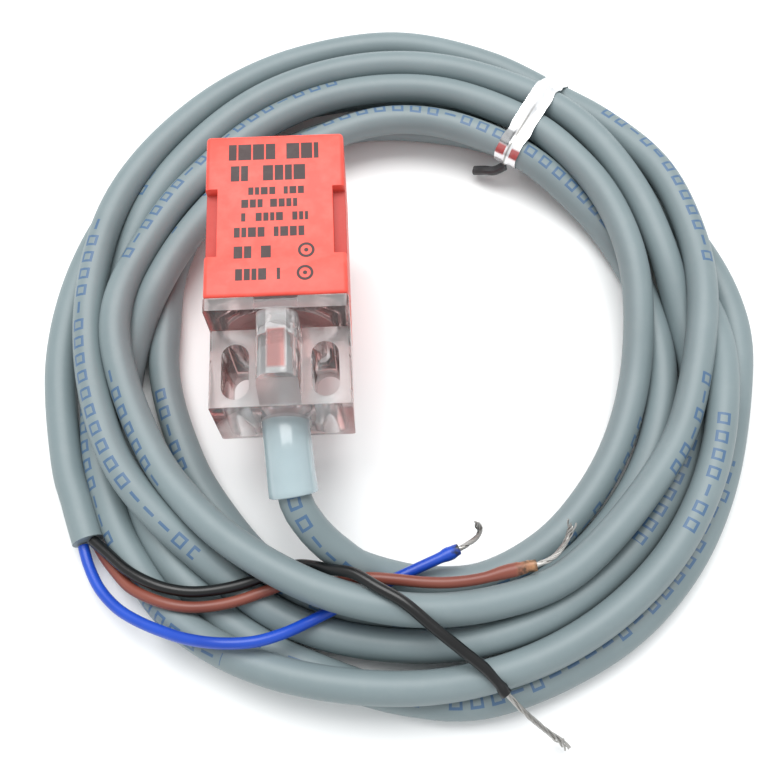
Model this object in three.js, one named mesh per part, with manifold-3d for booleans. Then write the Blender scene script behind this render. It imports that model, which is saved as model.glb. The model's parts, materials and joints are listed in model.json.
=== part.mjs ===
// Rectangular inductive proximity sensor with a three-core cable, wound into a coil and tied.
// Units: millimetres. Origin: centre of the sensing face. +Y: out of the sensing face. +Z: label side up.
import * as THREE from "three";
import { mergeVertices } from "three/addons/utils/BufferGeometryUtils.js";
import Module from "manifold-3d";

const wasm = await Module();
wasm.setup();

// ---------------------------------------------------------------- driving dimensions
const CLEARANCE = 0.3; // between pieces that fit into or lie against each other
const SEAT_GAP = 0.1; // solder stand-off under a component
const OVERCUT = 1; // how far a cutter runs past the face that it opens

// Sensor body
const BODY_WIDTH = 18;
const BODY_HEIGHT = 18;
const BODY_EDGE_RADIUS = 0.6;
const BODY_EDGE_STEPS = 3;
const COVER_LENGTH = 23.8;
const COVER_FACE_THICKNESS = 1.2;
const COVER_WALL = 1.3;
const COVER_CORNER_CUT = 2.2; // leg of the flats inside the cover's long edges
const NOTCH_WIDTH = 1.6;
const NOTCH_DEPTH = 1.5;
const NOTCH_START = 8.2;
const NOTCH_LENGTH = 9.8;

// Clear housing
const NOSE_WALL = 0.8;
const LIP_LENGTH = 1.7;
const CHAMBER_SIDE_WALL = 1.8;
const CHAMBER_TOP_WALL = 0.8;
const CHAMBER_END_WALL = 0.5;
const CHAMBER_SIDES = 48;
const LUG_LENGTH = 10.5;
const LUG_THICKNESS = 12.1;
const SPINE_WIDTH = 5.2;
const SPINE_TOP_LENGTH = 8.7;
const SLOT_WIDTH = 3.5;
const SLOT_LENGTH = 7.5;
const SLOT_SPACING = 11.4;
const SLOT_REAR_WALL = 1;

// Sensing coil: pot core, bobbin and winding, all about the Y axis
const CORE_SIDE_GAP = 0.4;
const CORE_LENGTH = 5;
const CORE_SHELL_WALL = 0.9;
const CORE_BACK = 1.3;
const BOBBIN_WALL = 0.3;
const BOBBIN_LENGTH = 3;
const WINDING_DEPTH = 1.3;

// Circuit board and its components
const BOARD_THICKNESS = 0.8;
const BOARD_TOP_Z = -0.4;
const BOARD_START = 8.6;
const BOARD_REAR_GAP = 2; // from the board's rear edge to the cover's
const COMPONENT_ROOM = 3;
const COMPONENT_FROM_EDGE = 1.6; // first and last rows of components, from the board's ends
const ROWS = 4;
const CHIP_WIDTH = 1.2;
const CHIP_LENGTH = 2;
const CHIP_FROM_SIDE = 0.6;
const OSCILLATOR_SIDE_GAP = 1; // between the oscillator and the columns of chips
const LED_BASE = 2;
const LED_BASE_HEIGHT = 0.8;
const LED_RADIUS = 0.85;
const PAD_RADIUS = 0.8;
const PAD_HEIGHT = 0.35;
const PAD_SPACING = 2.4;
const PAD_FROM_BOARD_END = 1.4;

// Potting
const POTTING_START = 8.2;
const POTTING_WALL = 1.1;
const POCKET_MARGIN = 0.4;
const WELL_MARGIN = 1;

// Cable
const CABLE_RADIUS = 2.2;
const CORE_WIRE_RADIUS = 0.75;
const STRAND_RADIUS = 0.4;
const CABLE_AXIS_HEIGHT = 4.7; // above the bottom face
const CABLE_SIDES = 12;
const CORE_WIRE_SIDES = 8;
const CORE_PACKING_RADIUS = 1.06;
const SLEEVE_WALL = 0.65;
const SLEEVE_PROTRUSION = 8;
const SLEEVE_INSERTION = 9.2;
const SLEEVE_SIDEWAYS = 0.65;
const SLEEVE_DROOP = 1.6;
const SLEEVE_SIDES = 24;
const SLEEVE_PITCH = 3; // spacing of the steps along the sleeve
const INNER_CORE_PITCH = 1;
const INNER_CORE_STRAIGHT = 0.6; // straight stretch at each end of an inner core
const JACKET_PAST_SLEEVE = 2.6;

// Coil of cable, and the surface that it lies on
const SURFACE_Z = -17.8;
const COIL_CENTRE = new THREE.Vector2(15.4, -18.6);
const COIL_INNER_RADIUS = 33.6;
const COIL_OUTER_RADIUS = 53.1;
const COIL_HEIGHT = 8.5;
const COIL_EDGE_RADIUS = 1.8;
const COIL_SEGMENTS = 72;
const COIL_SADDLE_HEIGHT = 4.65; // one layer of cable, where the cores cross the coil
const COIL_SADDLE_Y = -46;
const COIL_SADDLE_END_X = 42;
const COIL_STEP_RADIUS = 48; // the coil is one cable narrower where its last turn has left it
const COIL_STEP_Y = -37.9;
const COIL_STEP_END_X = -12;
const SHARP_EDGE = 0.01;

// Foil tie round the coil
const TIE_ANGLE = THREE.MathUtils.degToRad(56.5);
const TIE_WIDTH = 3.3;
const TIE_THICKNESS = 0.4;
const TIE_TAIL_WIDTH = 1.4;
const TIE_TAIL_THICKNESS = 0.5;
const TIE_TAIL_PITCH = 1.5;

// ---------------------------------------------------------------- cord routes, chosen by hand
// From the strain relief down to the coil
const LEAD_IN_ROUTE = [
  [0.7, -44.45, -6.0],
  [0.9, -45.6, -6.35],
  [1.5, -46.9, -6.95],
  [2.5, -48.4, -7.8],
  [3.8, -49.9, -8.9],
  [5.3, -51.2, -10.0],
  [6.7, -52.2, -10.85],
];
// The last turn's free end, as far as the cut jacket
const TAIL_ROUTE = [
  [-31.0, -38.9, -15.6],
  [-30.3, -41.5, -15.6],
  [-29.3, -44.5, -15.6],
  [-28.2, -47.7, -15.6],
];
const CORES = {
  blue: {
    color: 0x2850d2,
    route: [
      [-28.96, -48.3, -15.9],
      [-28.0, -51.0, -15.7],
      [-26.1, -54.4, -15.0],
      [-23.3, -57.3, -14.0],
      [-20.3, -59.2, -13.0],
      [-17.1, -60.7, -11.9],
      [-13.4, -62.1, -10.3],
      [-9.0, -63.0, -8.9],
      [-4.6, -63.0, -8.9],
      [-1.0, -62.0, -9.9],
      [2.0, -60.6, -11.2],
      [6.1, -58.6, -12.05],
      [10.5, -56.6, -12.1],
      [14.7, -54.9, -11.7],
      [18.2, -53.5, -11.5],
      [22.1, -51.9, -11.6],
    ],
    bare: [
      [23.4, -51.2, -11.7],
      [24.6, -50.4, -11.6],
      [25.1, -49.4, -11.3],
      [24.4, -48.4, -10.8],
    ],
  },
  black: {
    color: 0x2d3032,
    route: [
      [-27.38, -47.82, -14.85],
      [-24.9, -50.0, -14.0],
      [-22.3, -52.3, -13.1],
      [-19.6, -54.0, -12.4],
      [-16.4, -55.3, -12.05],
      [-12.8, -55.9, -12.05],
      [-8.1, -55.5, -12.05],
      [-4.7, -54.6, -12.05],
      [-1.6, -53.4, -12.05],
      [0.6, -53.0, -11.8],
      [2.6, -53.4, -10.7],
      [4.9, -54.3, -8.9],
      [8.0, -55.2, -7.4],
      [11.0, -57.2, -6.5],
      [14.2, -59.3, -6.1],
      [18.0, -62.6, -6.9],
      [21.3, -65.3, -8.0],
      [24.2, -67.7, -8.9],
      [26.7, -70.6, -10.1],
    ],
    bare: [
      [28.9, -72.8, -11.7],
      [31.6, -74.9, -13.9],
      [34.7, -77.1, -16.6],
    ],
  },
  brown: {
    color: 0x965041,
    route: [
      [-27.38, -47.83, -16.65],
      [-26.0, -49.9, -15.9],
      [-24.1, -52.2, -14.9],
      [-21.9, -54.5, -13.8],
      [-19.3, -56.1, -12.7],
      [-16.0, -57.4, -12.05],
      [-12.7, -57.9, -12.05],
      [-8.1, -57.5, -12.05],
      [-3.5, -56.2, -12.05],
      [0.2, -55.1, -12.05],
      [3.6, -55.3, -11.7],
      [6.8, -55.7, -10.7],
      [10.0, -55.5, -9.7],
      [13.5, -55.9, -9.5],
      [17.0, -56.4, -9.5],
      [20.5, -56.6, -9.5],
      [24.3, -56.3, -9.5],
      [28.1, -55.5, -9.4],
      [31.8, -54.9, -9.3],
    ],
    bare: [
      [34.1, -54.0, -9.2],
      [35.8, -52.2, -9.0],
      [37.2, -49.6, -8.6],
    ],
  },
};
const TIE_TAIL_ROUTE = [
  [32.3, 8.9, -14.7],
  [30.9, 9.5, -15.4],
  [29.4, 10.2, -16.4],
];

// ---------------------------------------------------------------- worked-out sizes
const BODY_LENGTH = COVER_LENGTH + LIP_LENGTH + LUG_LENGTH;
const COVER_REAR_Y = -COVER_LENGTH;
const LUG_FRONT_Y = -(COVER_LENGTH + LIP_LENGTH);
const REAR_Y = -BODY_LENGTH;
const BOTTOM_Z = -BODY_HEIGHT / 2;
const TOP_Z = BODY_HEIGHT / 2;
const LUG_TOP_Z = BOTTOM_Z + LUG_THICKNESS;
const SMALLER_HALF = Math.min(BODY_WIDTH, BODY_HEIGHT) / 2;
const NOSE_INSET = COVER_WALL + CLEARANCE; // insets are measured in from the body's outline
const NOSE_CAVITY_INSET = NOSE_INSET + NOSE_WALL;
const POTTING_INSET = NOSE_CAVITY_INSET + CLEARANCE;
const NOSE_START = COVER_FACE_THICKNESS + CLEARANCE;
const CHAMBER_RADIUS = SMALLER_HALF - CHAMBER_SIDE_WALL;
const CHAMBER_AXIS_Z = TOP_Z - CHAMBER_TOP_WALL - CHAMBER_RADIUS;
const CHAMBER_REAR_Y = LUG_FRONT_Y + CHAMBER_END_WALL;
const CABLE_AXIS_Z = BOTTOM_Z + CABLE_AXIS_HEIGHT;
const SLEEVE_BORE_RADIUS = CABLE_RADIUS + CLEARANCE;
const SLEEVE_RADIUS = SLEEVE_BORE_RADIUS + SLEEVE_WALL;
const HOUSING_BORE_RADIUS = SLEEVE_RADIUS + CLEARANCE;
const CORE_FRONT_Y = -NOSE_START;
const CORE_RADIUS = SMALLER_HALF - NOSE_CAVITY_INSET - CORE_SIDE_GAP;
const BOBBIN_FLANGE = CORE_RADIUS - CORE_SHELL_WALL - CLEARANCE;
const BOBBIN_REAR_Y = CORE_FRONT_Y - CORE_LENGTH + CORE_BACK + CLEARANCE;
const WINDING_OUTER = BOBBIN_FLANGE - CLEARANCE;
const WINDING_INNER = WINDING_OUTER - WINDING_DEPTH;
const BOBBIN_BORE = WINDING_INNER - CLEARANCE / 2 - BOBBIN_WALL;
const CORE_POST_RADIUS = BOBBIN_BORE - CLEARANCE;
const POCKET_HALF = BODY_WIDTH / 2 - POTTING_INSET - POTTING_WALL;
const BOARD_HALF = POCKET_HALF - POCKET_MARGIN;
const BOARD_REAR_Y = COVER_REAR_Y + BOARD_REAR_GAP;
const BOARD_BOTTOM_Z = BOARD_TOP_Z - BOARD_THICKNESS;
const BOARD_SEAT_Z = BOARD_TOP_Z + SEAT_GAP;
const ROW_PITCH = (-BOARD_REAR_Y - BOARD_START - 2 * COMPONENT_FROM_EDGE) / (ROWS - 1);
const COLUMN_X = BOARD_HALF - CHIP_FROM_SIDE - CHIP_WIDTH / 2;
const PAD_Y = BOARD_REAR_Y + PAD_FROM_BOARD_END;
const SLEEVE_FRONT_Y = REAR_Y + SLEEVE_INSERTION;
const SLEEVE_MOUTH_Y = REAR_Y - SLEEVE_PROTRUSION;
const JACKET_FRONT_Y = SLEEVE_FRONT_Y + JACKET_PAST_SLEEVE;
const COIL_TOP_Z = SURFACE_Z + COIL_HEIGHT;

// ---------------------------------------------------------------- solids and booleans
// A closed geometry as a solid that can be joined and cut.
function solid(geometry) {
  const source = geometry.index ? geometry.toNonIndexed() : geometry.clone();
  source.deleteAttribute("normal");
  source.deleteAttribute("uv");
  const merged = mergeVertices(source, 1e-4);
  return new wasm.Manifold(
    new wasm.Mesh({
      numProp: 3,
      vertProperties: merged.attributes.position.array,
      triVerts: new Uint32Array(merged.index.array),
    }),
  );
}

// A solid back as a flat-shaded geometry.
function geometryOf(body) {
  const { vertProperties, triVerts, numProp } = body.getMesh();
  const indexed = new THREE.BufferGeometry();
  const positions = new THREE.InterleavedBuffer(vertProperties, numProp);
  indexed.setAttribute("position", new THREE.InterleavedBufferAttribute(positions, 3, 0));
  indexed.setIndex(new THREE.BufferAttribute(triVerts, 1));
  const flat = indexed.toNonIndexed();
  flat.computeVertexNormals();
  return flat;
}

function box(from, to) {
  const size = to.map((value, axis) => value - from[axis]);
  const centre = to.map((value, axis) => (value + from[axis]) / 2);
  return new THREE.BoxGeometry(...size).translate(...centre);
}

function polygon(points) {
  return new THREE.Shape(points.map(([x, y]) => new THREE.Vector2(x, y)));
}

// A section drawn as (x, z) and run back from y = -start to y = -end.
function runBack(shape, start, end, curveSegments = 12) {
  const options = { depth: end - start, bevelEnabled: false, curveSegments };
  return new THREE.ExtrudeGeometry(shape, options).rotateX(Math.PI / 2).translate(0, -start, 0);
}

// A side view drawn as (y, z) and run across the body, centred on x = 0.
function runAcross(shape, width) {
  const options = { depth: width, bevelEnabled: false };
  const run = new THREE.ExtrudeGeometry(shape, options).translate(0, 0, -width / 2);
  return run.rotateY(Math.PI / 2).rotateX(Math.PI / 2);
}

// The body's outline drawn in by `inset`, with the flats of the cover's inner corners.
function nested(inset) {
  const x = BODY_WIDTH / 2 - inset;
  const z = BODY_HEIGHT / 2 - inset;
  const cut = COVER_CORNER_CUT - (inset - COVER_WALL) * (2 - Math.SQRT2);
  return polygon([
    [x, cut - z], [x, z - cut], [x - cut, z], [cut - x, z],
    [-x, z - cut], [-x, cut - z], [cut - x, -z], [x - cut, -z],
  ]);
}

function roundedRectangle(width, height, radius) {
  const x = width / 2 - radius;
  const y = height / 2 - radius;
  const shape = new THREE.Shape();
  shape.absarc(x, y, radius, 0, Math.PI / 2);
  shape.absarc(-x, y, radius, Math.PI / 2, Math.PI);
  shape.absarc(-x, -y, radius, Math.PI, 1.5 * Math.PI);
  shape.absarc(x, -y, radius, 1.5 * Math.PI, 2 * Math.PI);
  return shape;
}

function regularPolygon(radius, sides) {
  const corner = (index) => {
    const angle = (2 * Math.PI * index) / sides;
    return new THREE.Vector2(radius * Math.cos(angle), radius * Math.sin(angle));
  };
  return new THREE.Shape(Array.from({ length: sides }, (_, index) => corner(index)));
}

function circleHole(radius, sides) {
  return new THREE.Path(regularPolygon(radius, sides).getPoints().reverse());
}

// A cylinder along Y between two depths behind the sensing face.
function rodAlongY(radius, start, end, x, z, sides = 32) {
  return runBack(regularPolygon(radius, sides), start, end).translate(x, 0, z);
}

// A body of revolution about the Y axis from a closed profile of (radius, y) points.
function turned(profile, segments = 40) {
  const points = profile.map(([radius, y]) => new THREE.Vector2(radius, y));
  points.push(points[0].clone());
  return new THREE.LatheGeometry(points, segments);
}

function smoothCurve(points) {
  const vectors = points.map((point) => new THREE.Vector3(...point));
  return new THREE.CatmullRomCurve3(vectors, false, "centripetal");
}

// A section run along a curve, with a step about every `pitch` millimetres.
function runAlong(shape, points, pitch) {
  const curve = smoothCurve(points);
  const steps = Math.max(2, Math.round(curve.getLength() / pitch));
  return new THREE.ExtrudeGeometry(shape, { steps, bevelEnabled: false, extrudePath: curve });
}

function cord(points, radius, sides) {
  return runAlong(regularPolygon(radius, sides), points, 2.5 * 2 * radius);
}

// ---------------------------------------------------------------- the model
const sensor = new THREE.Group();

function add(name, geometry, color, roughness, metalness = 0) {
  const material = new THREE.MeshStandardMaterial({ color, roughness, metalness });
  const mesh = new THREE.Mesh(geometry, material);
  mesh.name = name;
  sensor.add(mesh);
  return mesh;
}

// Red cover: a cap over the front, open at the rear, with a notch in each upper long edge.
function redCover() {
  const section = roundedRectangle(
    BODY_WIDTH - 2 * BODY_EDGE_RADIUS,
    BODY_HEIGHT - 2 * BODY_EDGE_RADIUS,
    BODY_EDGE_RADIUS,
  );
  const bevel = {
    depth: COVER_LENGTH,
    curveSegments: BODY_EDGE_STEPS,
    bevelThickness: BODY_EDGE_RADIUS,
    bevelSize: BODY_EDGE_RADIUS,
    bevelSegments: BODY_EDGE_STEPS,
  };
  const block = new THREE.ExtrudeGeometry(section, bevel).rotateX(Math.PI / 2);
  block.translate(0, -BODY_EDGE_RADIUS, 0);
  const beyond = box(
    [-BODY_WIDTH, COVER_REAR_Y - 2 * BODY_EDGE_RADIUS - OVERCUT, -BODY_HEIGHT],
    [BODY_WIDTH, COVER_REAR_Y, BODY_HEIGHT],
  );
  const cavity = runBack(nested(COVER_WALL), COVER_FACE_THICKNESS, COVER_LENGTH + OVERCUT);
  let cover = solid(block).subtract(solid(beyond)).subtract(solid(cavity));
  for (const side of [-1, 1]) {
    const inner = side * (BODY_WIDTH / 2 - NOTCH_WIDTH);
    const outer = side * (BODY_WIDTH / 2 + OVERCUT);
    const notch = box(
      [Math.min(inner, outer), -(NOTCH_START + NOTCH_LENGTH), TOP_Z - NOTCH_DEPTH],
      [Math.max(inner, outer), -NOTCH_START, TOP_Z + OVERCUT],
    );
    cover = cover.subtract(solid(notch));
  }
  return geometryOf(cover);
}

function slot(x) {
  const straight = (SLOT_LENGTH - SLOT_WIDTH) / 2;
  const middle = REAR_Y + SLOT_REAR_WALL + SLOT_LENGTH / 2;
  const radius = SLOT_WIDTH / 2;
  const shape = new THREE.Shape();
  shape.absarc(0, straight, radius, 0, Math.PI);
  shape.absarc(0, -straight, radius, Math.PI, 2 * Math.PI);
  const depth = LUG_THICKNESS + 2 * OVERCUT;
  const cutter = new THREE.ExtrudeGeometry(shape, { depth, bevelEnabled: false, curveSegments: 8 });
  return cutter.translate(x, middle, BOTTOM_Z - OVERCUT);
}

// Clear housing: the nose inside the cover, the lip behind it, two slotted lugs and the spine.
function clearHousing() {
  const nose = runBack(nested(NOSE_INSET), NOSE_START, COVER_LENGTH + LIP_LENGTH / 2);
  const lipStart = COVER_REAR_Y - CLEARANCE / 2;
  const sideView = polygon([
    [lipStart, BOTTOM_Z], [lipStart, TOP_Z], [LUG_FRONT_Y, TOP_Z],
    [LUG_FRONT_Y, LUG_TOP_Z], [REAR_Y, LUG_TOP_Z], [REAR_Y, BOTTOM_Z],
  ]);
  const spineView = polygon([
    [lipStart - CLEARANCE, LUG_TOP_Z - OVERCUT], [lipStart - CLEARANCE, TOP_Z],
    [LUG_FRONT_Y - SPINE_TOP_LENGTH, TOP_Z], [REAR_Y, LUG_TOP_Z], [REAR_Y, LUG_TOP_Z - OVERCUT],
  ]);
  const cavity = runBack(nested(NOSE_CAVITY_INSET), 0, COVER_LENGTH);
  const chamber = rodAlongY(
    CHAMBER_RADIUS, COVER_LENGTH - OVERCUT, -CHAMBER_REAR_Y, 0, CHAMBER_AXIS_Z, CHAMBER_SIDES,
  );
  const bore = rodAlongY(
    HOUSING_BORE_RADIUS, COVER_LENGTH, BODY_LENGTH + OVERCUT, 0, CABLE_AXIS_Z, SLEEVE_SIDES,
  );
  let housing = solid(nose)
    .add(solid(runAcross(sideView, BODY_WIDTH)))
    .add(solid(runAcross(spineView, SPINE_WIDTH)));
  for (const cutter of [cavity, chamber, bore, slot(-SLOT_SPACING / 2), slot(SLOT_SPACING / 2)]) {
    housing = housing.subtract(solid(cutter));
  }
  return geometryOf(housing);
}

// Half pot core, its open side towards the sensing face.
function ferriteCore() {
  const back = CORE_FRONT_Y - CORE_LENGTH;
  const floor = back + CORE_BACK;
  const shell = CORE_RADIUS - CORE_SHELL_WALL;
  const profile = [
    [0, back], [CORE_RADIUS, back], [CORE_RADIUS, CORE_FRONT_Y], [shell, CORE_FRONT_Y],
    [shell, floor], [CORE_POST_RADIUS, floor], [CORE_POST_RADIUS, CORE_FRONT_Y], [0, CORE_FRONT_Y],
  ];
  const points = profile.map(([radius, y]) => new THREE.Vector2(radius, y));
  return new THREE.LatheGeometry(points, 40);
}

function coilBobbin() {
  const front = BOBBIN_REAR_Y + BOBBIN_LENGTH;
  const hub = BOBBIN_BORE + BOBBIN_WALL;
  return turned([
    [BOBBIN_BORE, BOBBIN_REAR_Y], [BOBBIN_FLANGE, BOBBIN_REAR_Y],
    [BOBBIN_FLANGE, BOBBIN_REAR_Y + BOBBIN_WALL], [hub, BOBBIN_REAR_Y + BOBBIN_WALL],
    [hub, front - BOBBIN_WALL], [BOBBIN_FLANGE, front - BOBBIN_WALL],
    [BOBBIN_FLANGE, front], [BOBBIN_BORE, front],
  ]);
}

function coilWinding() {
  const rear = BOBBIN_REAR_Y + BOBBIN_WALL + CLEARANCE / 2;
  const front = BOBBIN_REAR_Y + BOBBIN_LENGTH - BOBBIN_WALL - CLEARANCE / 2;
  return turned([
    [WINDING_INNER, rear], [WINDING_OUTER, rear], [WINDING_OUTER, front], [WINDING_INNER, front],
  ]);
}

function circuitBoard() {
  return box([-BOARD_HALF, BOARD_REAR_Y, BOARD_BOTTOM_Z], [BOARD_HALF, -BOARD_START, BOARD_TOP_Z]);
}

// The distance of a row of components behind the sensing face. Halves are between two rows.
function rowY(row) {
  return -(BOARD_START + COMPONENT_FROM_EDGE + row * ROW_PITCH);
}

// A rectangular component on the board's upper face, placed by its centre.
function onBoard(x, row, width, length, height) {
  const y = rowY(row);
  return box(
    [x - width / 2, y - length / 2, BOARD_SEAT_Z],
    [x + width / 2, y + length / 2, BOARD_SEAT_Z + height],
  );
}

// Beside the lamp in the last row: from its base's side to the columns' outer side.
const BESIDE_LED_INNER = LED_BASE / 2 + CLEARANCE;
const BESIDE_LED_WIDTH = BOARD_HALF - CHIP_FROM_SIDE - BESIDE_LED_INNER;
const BESIDE_LED_X = BESIDE_LED_INNER + BESIDE_LED_WIDTH / 2;
const OSCILLATOR_WIDTH = 2 * (COLUMN_X - CHIP_WIDTH / 2 - OSCILLATOR_SIDE_GAP);
const OSCILLATOR_LENGTH = ROW_PITCH + CHIP_LENGTH - CLEARANCE;

// Surface-mounted pieces: name, x, row, width, length, height, colour
const BOARD_PIECES = [
  ["oscillator_ic", 0, 0.5, OSCILLATOR_WIDTH, OSCILLATOR_LENGTH, 1.5, 0x1c1d20],
  ["output_transistor", -BESIDE_LED_X, 3, BESIDE_LED_WIDTH, 1.6, 1.1, 0x202226],
  ["protection_diode", BESIDE_LED_X, 3, BESIDE_LED_WIDTH, 1.6, 1.1, 0x26282b],
  ["tuning_capacitor", -COLUMN_X, 0, CHIP_WIDTH, CHIP_LENGTH, 0.9, 0xb8946a],
  ["filter_capacitor", COLUMN_X, 0, CHIP_WIDTH, CHIP_LENGTH, 0.9, 0xb8946a],
  ["gain_resistor", -COLUMN_X, 1, CHIP_WIDTH, CHIP_LENGTH, 0.5, 0x2a2a2e],
  ["bypass_capacitor", COLUMN_X, 1, CHIP_WIDTH, CHIP_LENGTH, 0.9, 0xb8946a],
  ["bias_resistor", -COLUMN_X, 2, CHIP_WIDTH, CHIP_LENGTH, 0.5, 0x2a2a2e],
  ["pull_up_resistor", 0, 2, CHIP_WIDTH, CHIP_LENGTH, 0.5, 0x2a2a2e],
  ["led_resistor", COLUMN_X, 2, CHIP_WIDTH, CHIP_LENGTH, 0.5, 0x2a2a2e],
];

// Indicator lamp: a domed lens on a square base, at the rear of the board under the spine.
function indicatorLed() {
  const row = ROWS - 1;
  const base = solid(onBoard(0, row, LED_BASE, LED_BASE, LED_BASE_HEIGHT));
  const dome = new THREE.SphereGeometry(LED_RADIUS, 16, 12);
  dome.rotateX(Math.PI / 2).translate(0, rowY(row), BOARD_SEAT_Z + LED_BASE_HEIGHT);
  return geometryOf(base.add(solid(dome)));
}

// Potting: a cup round the board with a well for the cores, and a boss that fills the round chamber.
function pottingResin() {
  const rear = -CHAMBER_REAR_Y - CLEARANCE;
  const block = runBack(nested(POTTING_INSET), POTTING_START, COVER_LENGTH - CLEARANCE);
  const boss = rodAlongY(
    CHAMBER_RADIUS - CLEARANCE, COVER_LENGTH + CLEARANCE, rear, 0, CHAMBER_AXIS_Z, CHAMBER_SIDES,
  );
  const neckRadius = BODY_HEIGHT / 2 - POTTING_INSET - CHAMBER_AXIS_Z;
  const neck = rodAlongY(
    neckRadius, COVER_LENGTH - OVERCUT, COVER_LENGTH + OVERCUT, 0, CHAMBER_AXIS_Z, CHAMBER_SIDES,
  );
  const pocket = box(
    [-POCKET_HALF, BOARD_REAR_Y - POCKET_MARGIN, BOARD_BOTTOM_Z - POCKET_MARGIN],
    [POCKET_HALF, -POTTING_START + OVERCUT, BOARD_TOP_Z + COMPONENT_ROOM],
  );
  const wellHalf = PAD_SPACING + PAD_RADIUS + CLEARANCE;
  const well = box(
    [-wellHalf, JACKET_FRONT_Y, CABLE_AXIS_Z - CORE_PACKING_RADIUS - CORE_WIRE_RADIUS - CLEARANCE],
    [wellHalf, PAD_Y + PAD_RADIUS + WELL_MARGIN, BOARD_BOTTOM_Z],
  );
  const passage = rodAlongY(
    CABLE_RADIUS + CLEARANCE, -JACKET_FRONT_Y - OVERCUT, rear + OVERCUT, 0, CABLE_AXIS_Z, SLEEVE_SIDES,
  );
  let potting = solid(block).add(solid(neck)).add(solid(boss));
  for (const cutter of [pocket, well, passage]) {
    potting = potting.subtract(solid(cutter));
  }
  return geometryOf(potting);
}

// ---------------------------------------------------------------- cable inside the sensor
const SLEEVE_ROUTE = [
  [0, SLEEVE_FRONT_Y, CABLE_AXIS_Z],
  [0, (SLEEVE_FRONT_Y + REAR_Y) / 2, CABLE_AXIS_Z],
  [0, REAR_Y, CABLE_AXIS_Z],
  [SLEEVE_SIDEWAYS / 2, (REAR_Y + SLEEVE_MOUTH_Y) / 2, CABLE_AXIS_Z - SLEEVE_DROOP / 4],
  [SLEEVE_SIDEWAYS, SLEEVE_MOUTH_Y, CABLE_AXIS_Z - SLEEVE_DROOP],
];

function strainReliefSleeve() {
  const ring = regularPolygon(SLEEVE_RADIUS, SLEEVE_SIDES);
  ring.holes.push(circleHole(SLEEVE_BORE_RADIUS, SLEEVE_SIDES));
  return runAlong(ring, SLEEVE_ROUTE, SLEEVE_PITCH);
}

function jacketInSleeve() {
  const route = [[0, JACKET_FRONT_Y, CABLE_AXIS_Z], ...SLEEVE_ROUTE];
  return runAlong(regularPolygon(CABLE_RADIUS, CABLE_SIDES), route, SLEEVE_PITCH);
}

// The three cores from the jacket's inner end up to the pads under the board.
const INNER_CORES = [
  ["inner_core_blue", -1, Math.PI / 6, CORES.blue.color],
  ["inner_core_black", 0, -Math.PI / 2, CORES.black.color],
  ["inner_core_brown", 1, (5 * Math.PI) / 6, CORES.brown.color],
];

function innerCore(lane, packingAngle) {
  const startX = -CORE_PACKING_RADIUS * Math.cos(packingAngle);
  const startZ = CABLE_AXIS_Z + CORE_PACKING_RADIUS * Math.sin(packingAngle);
  const startY = JACKET_FRONT_Y + CLEARANCE;
  const endX = lane * PAD_SPACING;
  const padFace = BOARD_BOTTOM_Z - SEAT_GAP - PAD_HEIGHT - CLEARANCE;
  const endZ = padFace - CORE_WIRE_RADIUS;
  const route = [
    [startX, startY, startZ],
    [startX, startY + INNER_CORE_STRAIGHT, startZ],
    [(startX + endX) / 2, (startY + PAD_Y) / 2, (startZ + endZ) / 2],
    [endX, PAD_Y - INNER_CORE_STRAIGHT, endZ],
    [endX, PAD_Y + PAD_RADIUS, endZ],
  ];
  return runAlong(regularPolygon(CORE_WIRE_RADIUS, CORE_WIRE_SIDES), route, INNER_CORE_PITCH);
}

function solderPad(lane) {
  const top = BOARD_BOTTOM_Z - SEAT_GAP;
  const disc = new THREE.CylinderGeometry(PAD_RADIUS, 0.6 * PAD_RADIUS, PAD_HEIGHT, 16);
  return disc.rotateX(Math.PI / 2).translate(lane * PAD_SPACING, PAD_Y, top - PAD_HEIGHT / 2);
}

// ---------------------------------------------------------------- coil of cable
function ringAboutCoil(inner, outer, low, high, edge) {
  const section = [
    [inner + edge, low], [outer - edge, low], [outer, low + edge], [outer, high - edge],
    [outer - edge, high], [inner + edge, high], [inner, high - edge], [inner, low + edge],
  ];
  const ring = turned(section, COIL_SEGMENTS).rotateX(Math.PI / 2);
  return ring.translate(COIL_CENTRE.x, COIL_CENTRE.y, 0);
}

// Into the frame that has its X axis along the coil's radius through the tie.
function atTie(geometry) {
  return geometry.rotateZ(TIE_ANGLE).translate(COIL_CENTRE.x, COIL_CENTRE.y, 0);
}

// The coil's outer shape: lower where the cores cross it, one cable narrower past the last turn's
// end, and with a groove underneath for the tie.
function cableCoil() {
  const far = 2 * COIL_OUTER_RADIUS;
  const ring = ringAboutCoil(
    COIL_INNER_RADIUS, COIL_OUTER_RADIUS, SURFACE_Z, COIL_TOP_Z, COIL_EDGE_RADIUS,
  );
  const saddle = box(
    [-far, -far, SURFACE_Z + COIL_SADDLE_HEIGHT],
    [COIL_SADDLE_END_X, COIL_SADDLE_Y, COIL_TOP_Z + OVERCUT],
  );
  const outerLane = ringAboutCoil(
    COIL_STEP_RADIUS,
    COIL_OUTER_RADIUS + OVERCUT,
    SURFACE_Z - OVERCUT,
    COIL_TOP_Z + OVERCUT,
    SHARP_EDGE,
  );
  const stepRegion = box(
    [-far, -far, SURFACE_Z - OVERCUT],
    [COIL_STEP_END_X, COIL_STEP_Y, COIL_TOP_Z + OVERCUT],
  );
  const grooveHalf = TIE_WIDTH / 2 + CLEARANCE;
  const groove = box(
    [COIL_INNER_RADIUS - OVERCUT, -grooveHalf, SURFACE_Z - OVERCUT],
    [COIL_OUTER_RADIUS + OVERCUT, grooveHalf, SURFACE_Z + TIE_THICKNESS + CLEARANCE],
  );
  const coil = solid(ring)
    .subtract(solid(saddle))
    .subtract(solid(outerLane).intersect(solid(stepRegion)))
    .subtract(solid(atTie(groove)));
  return geometryOf(coil);
}

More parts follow.
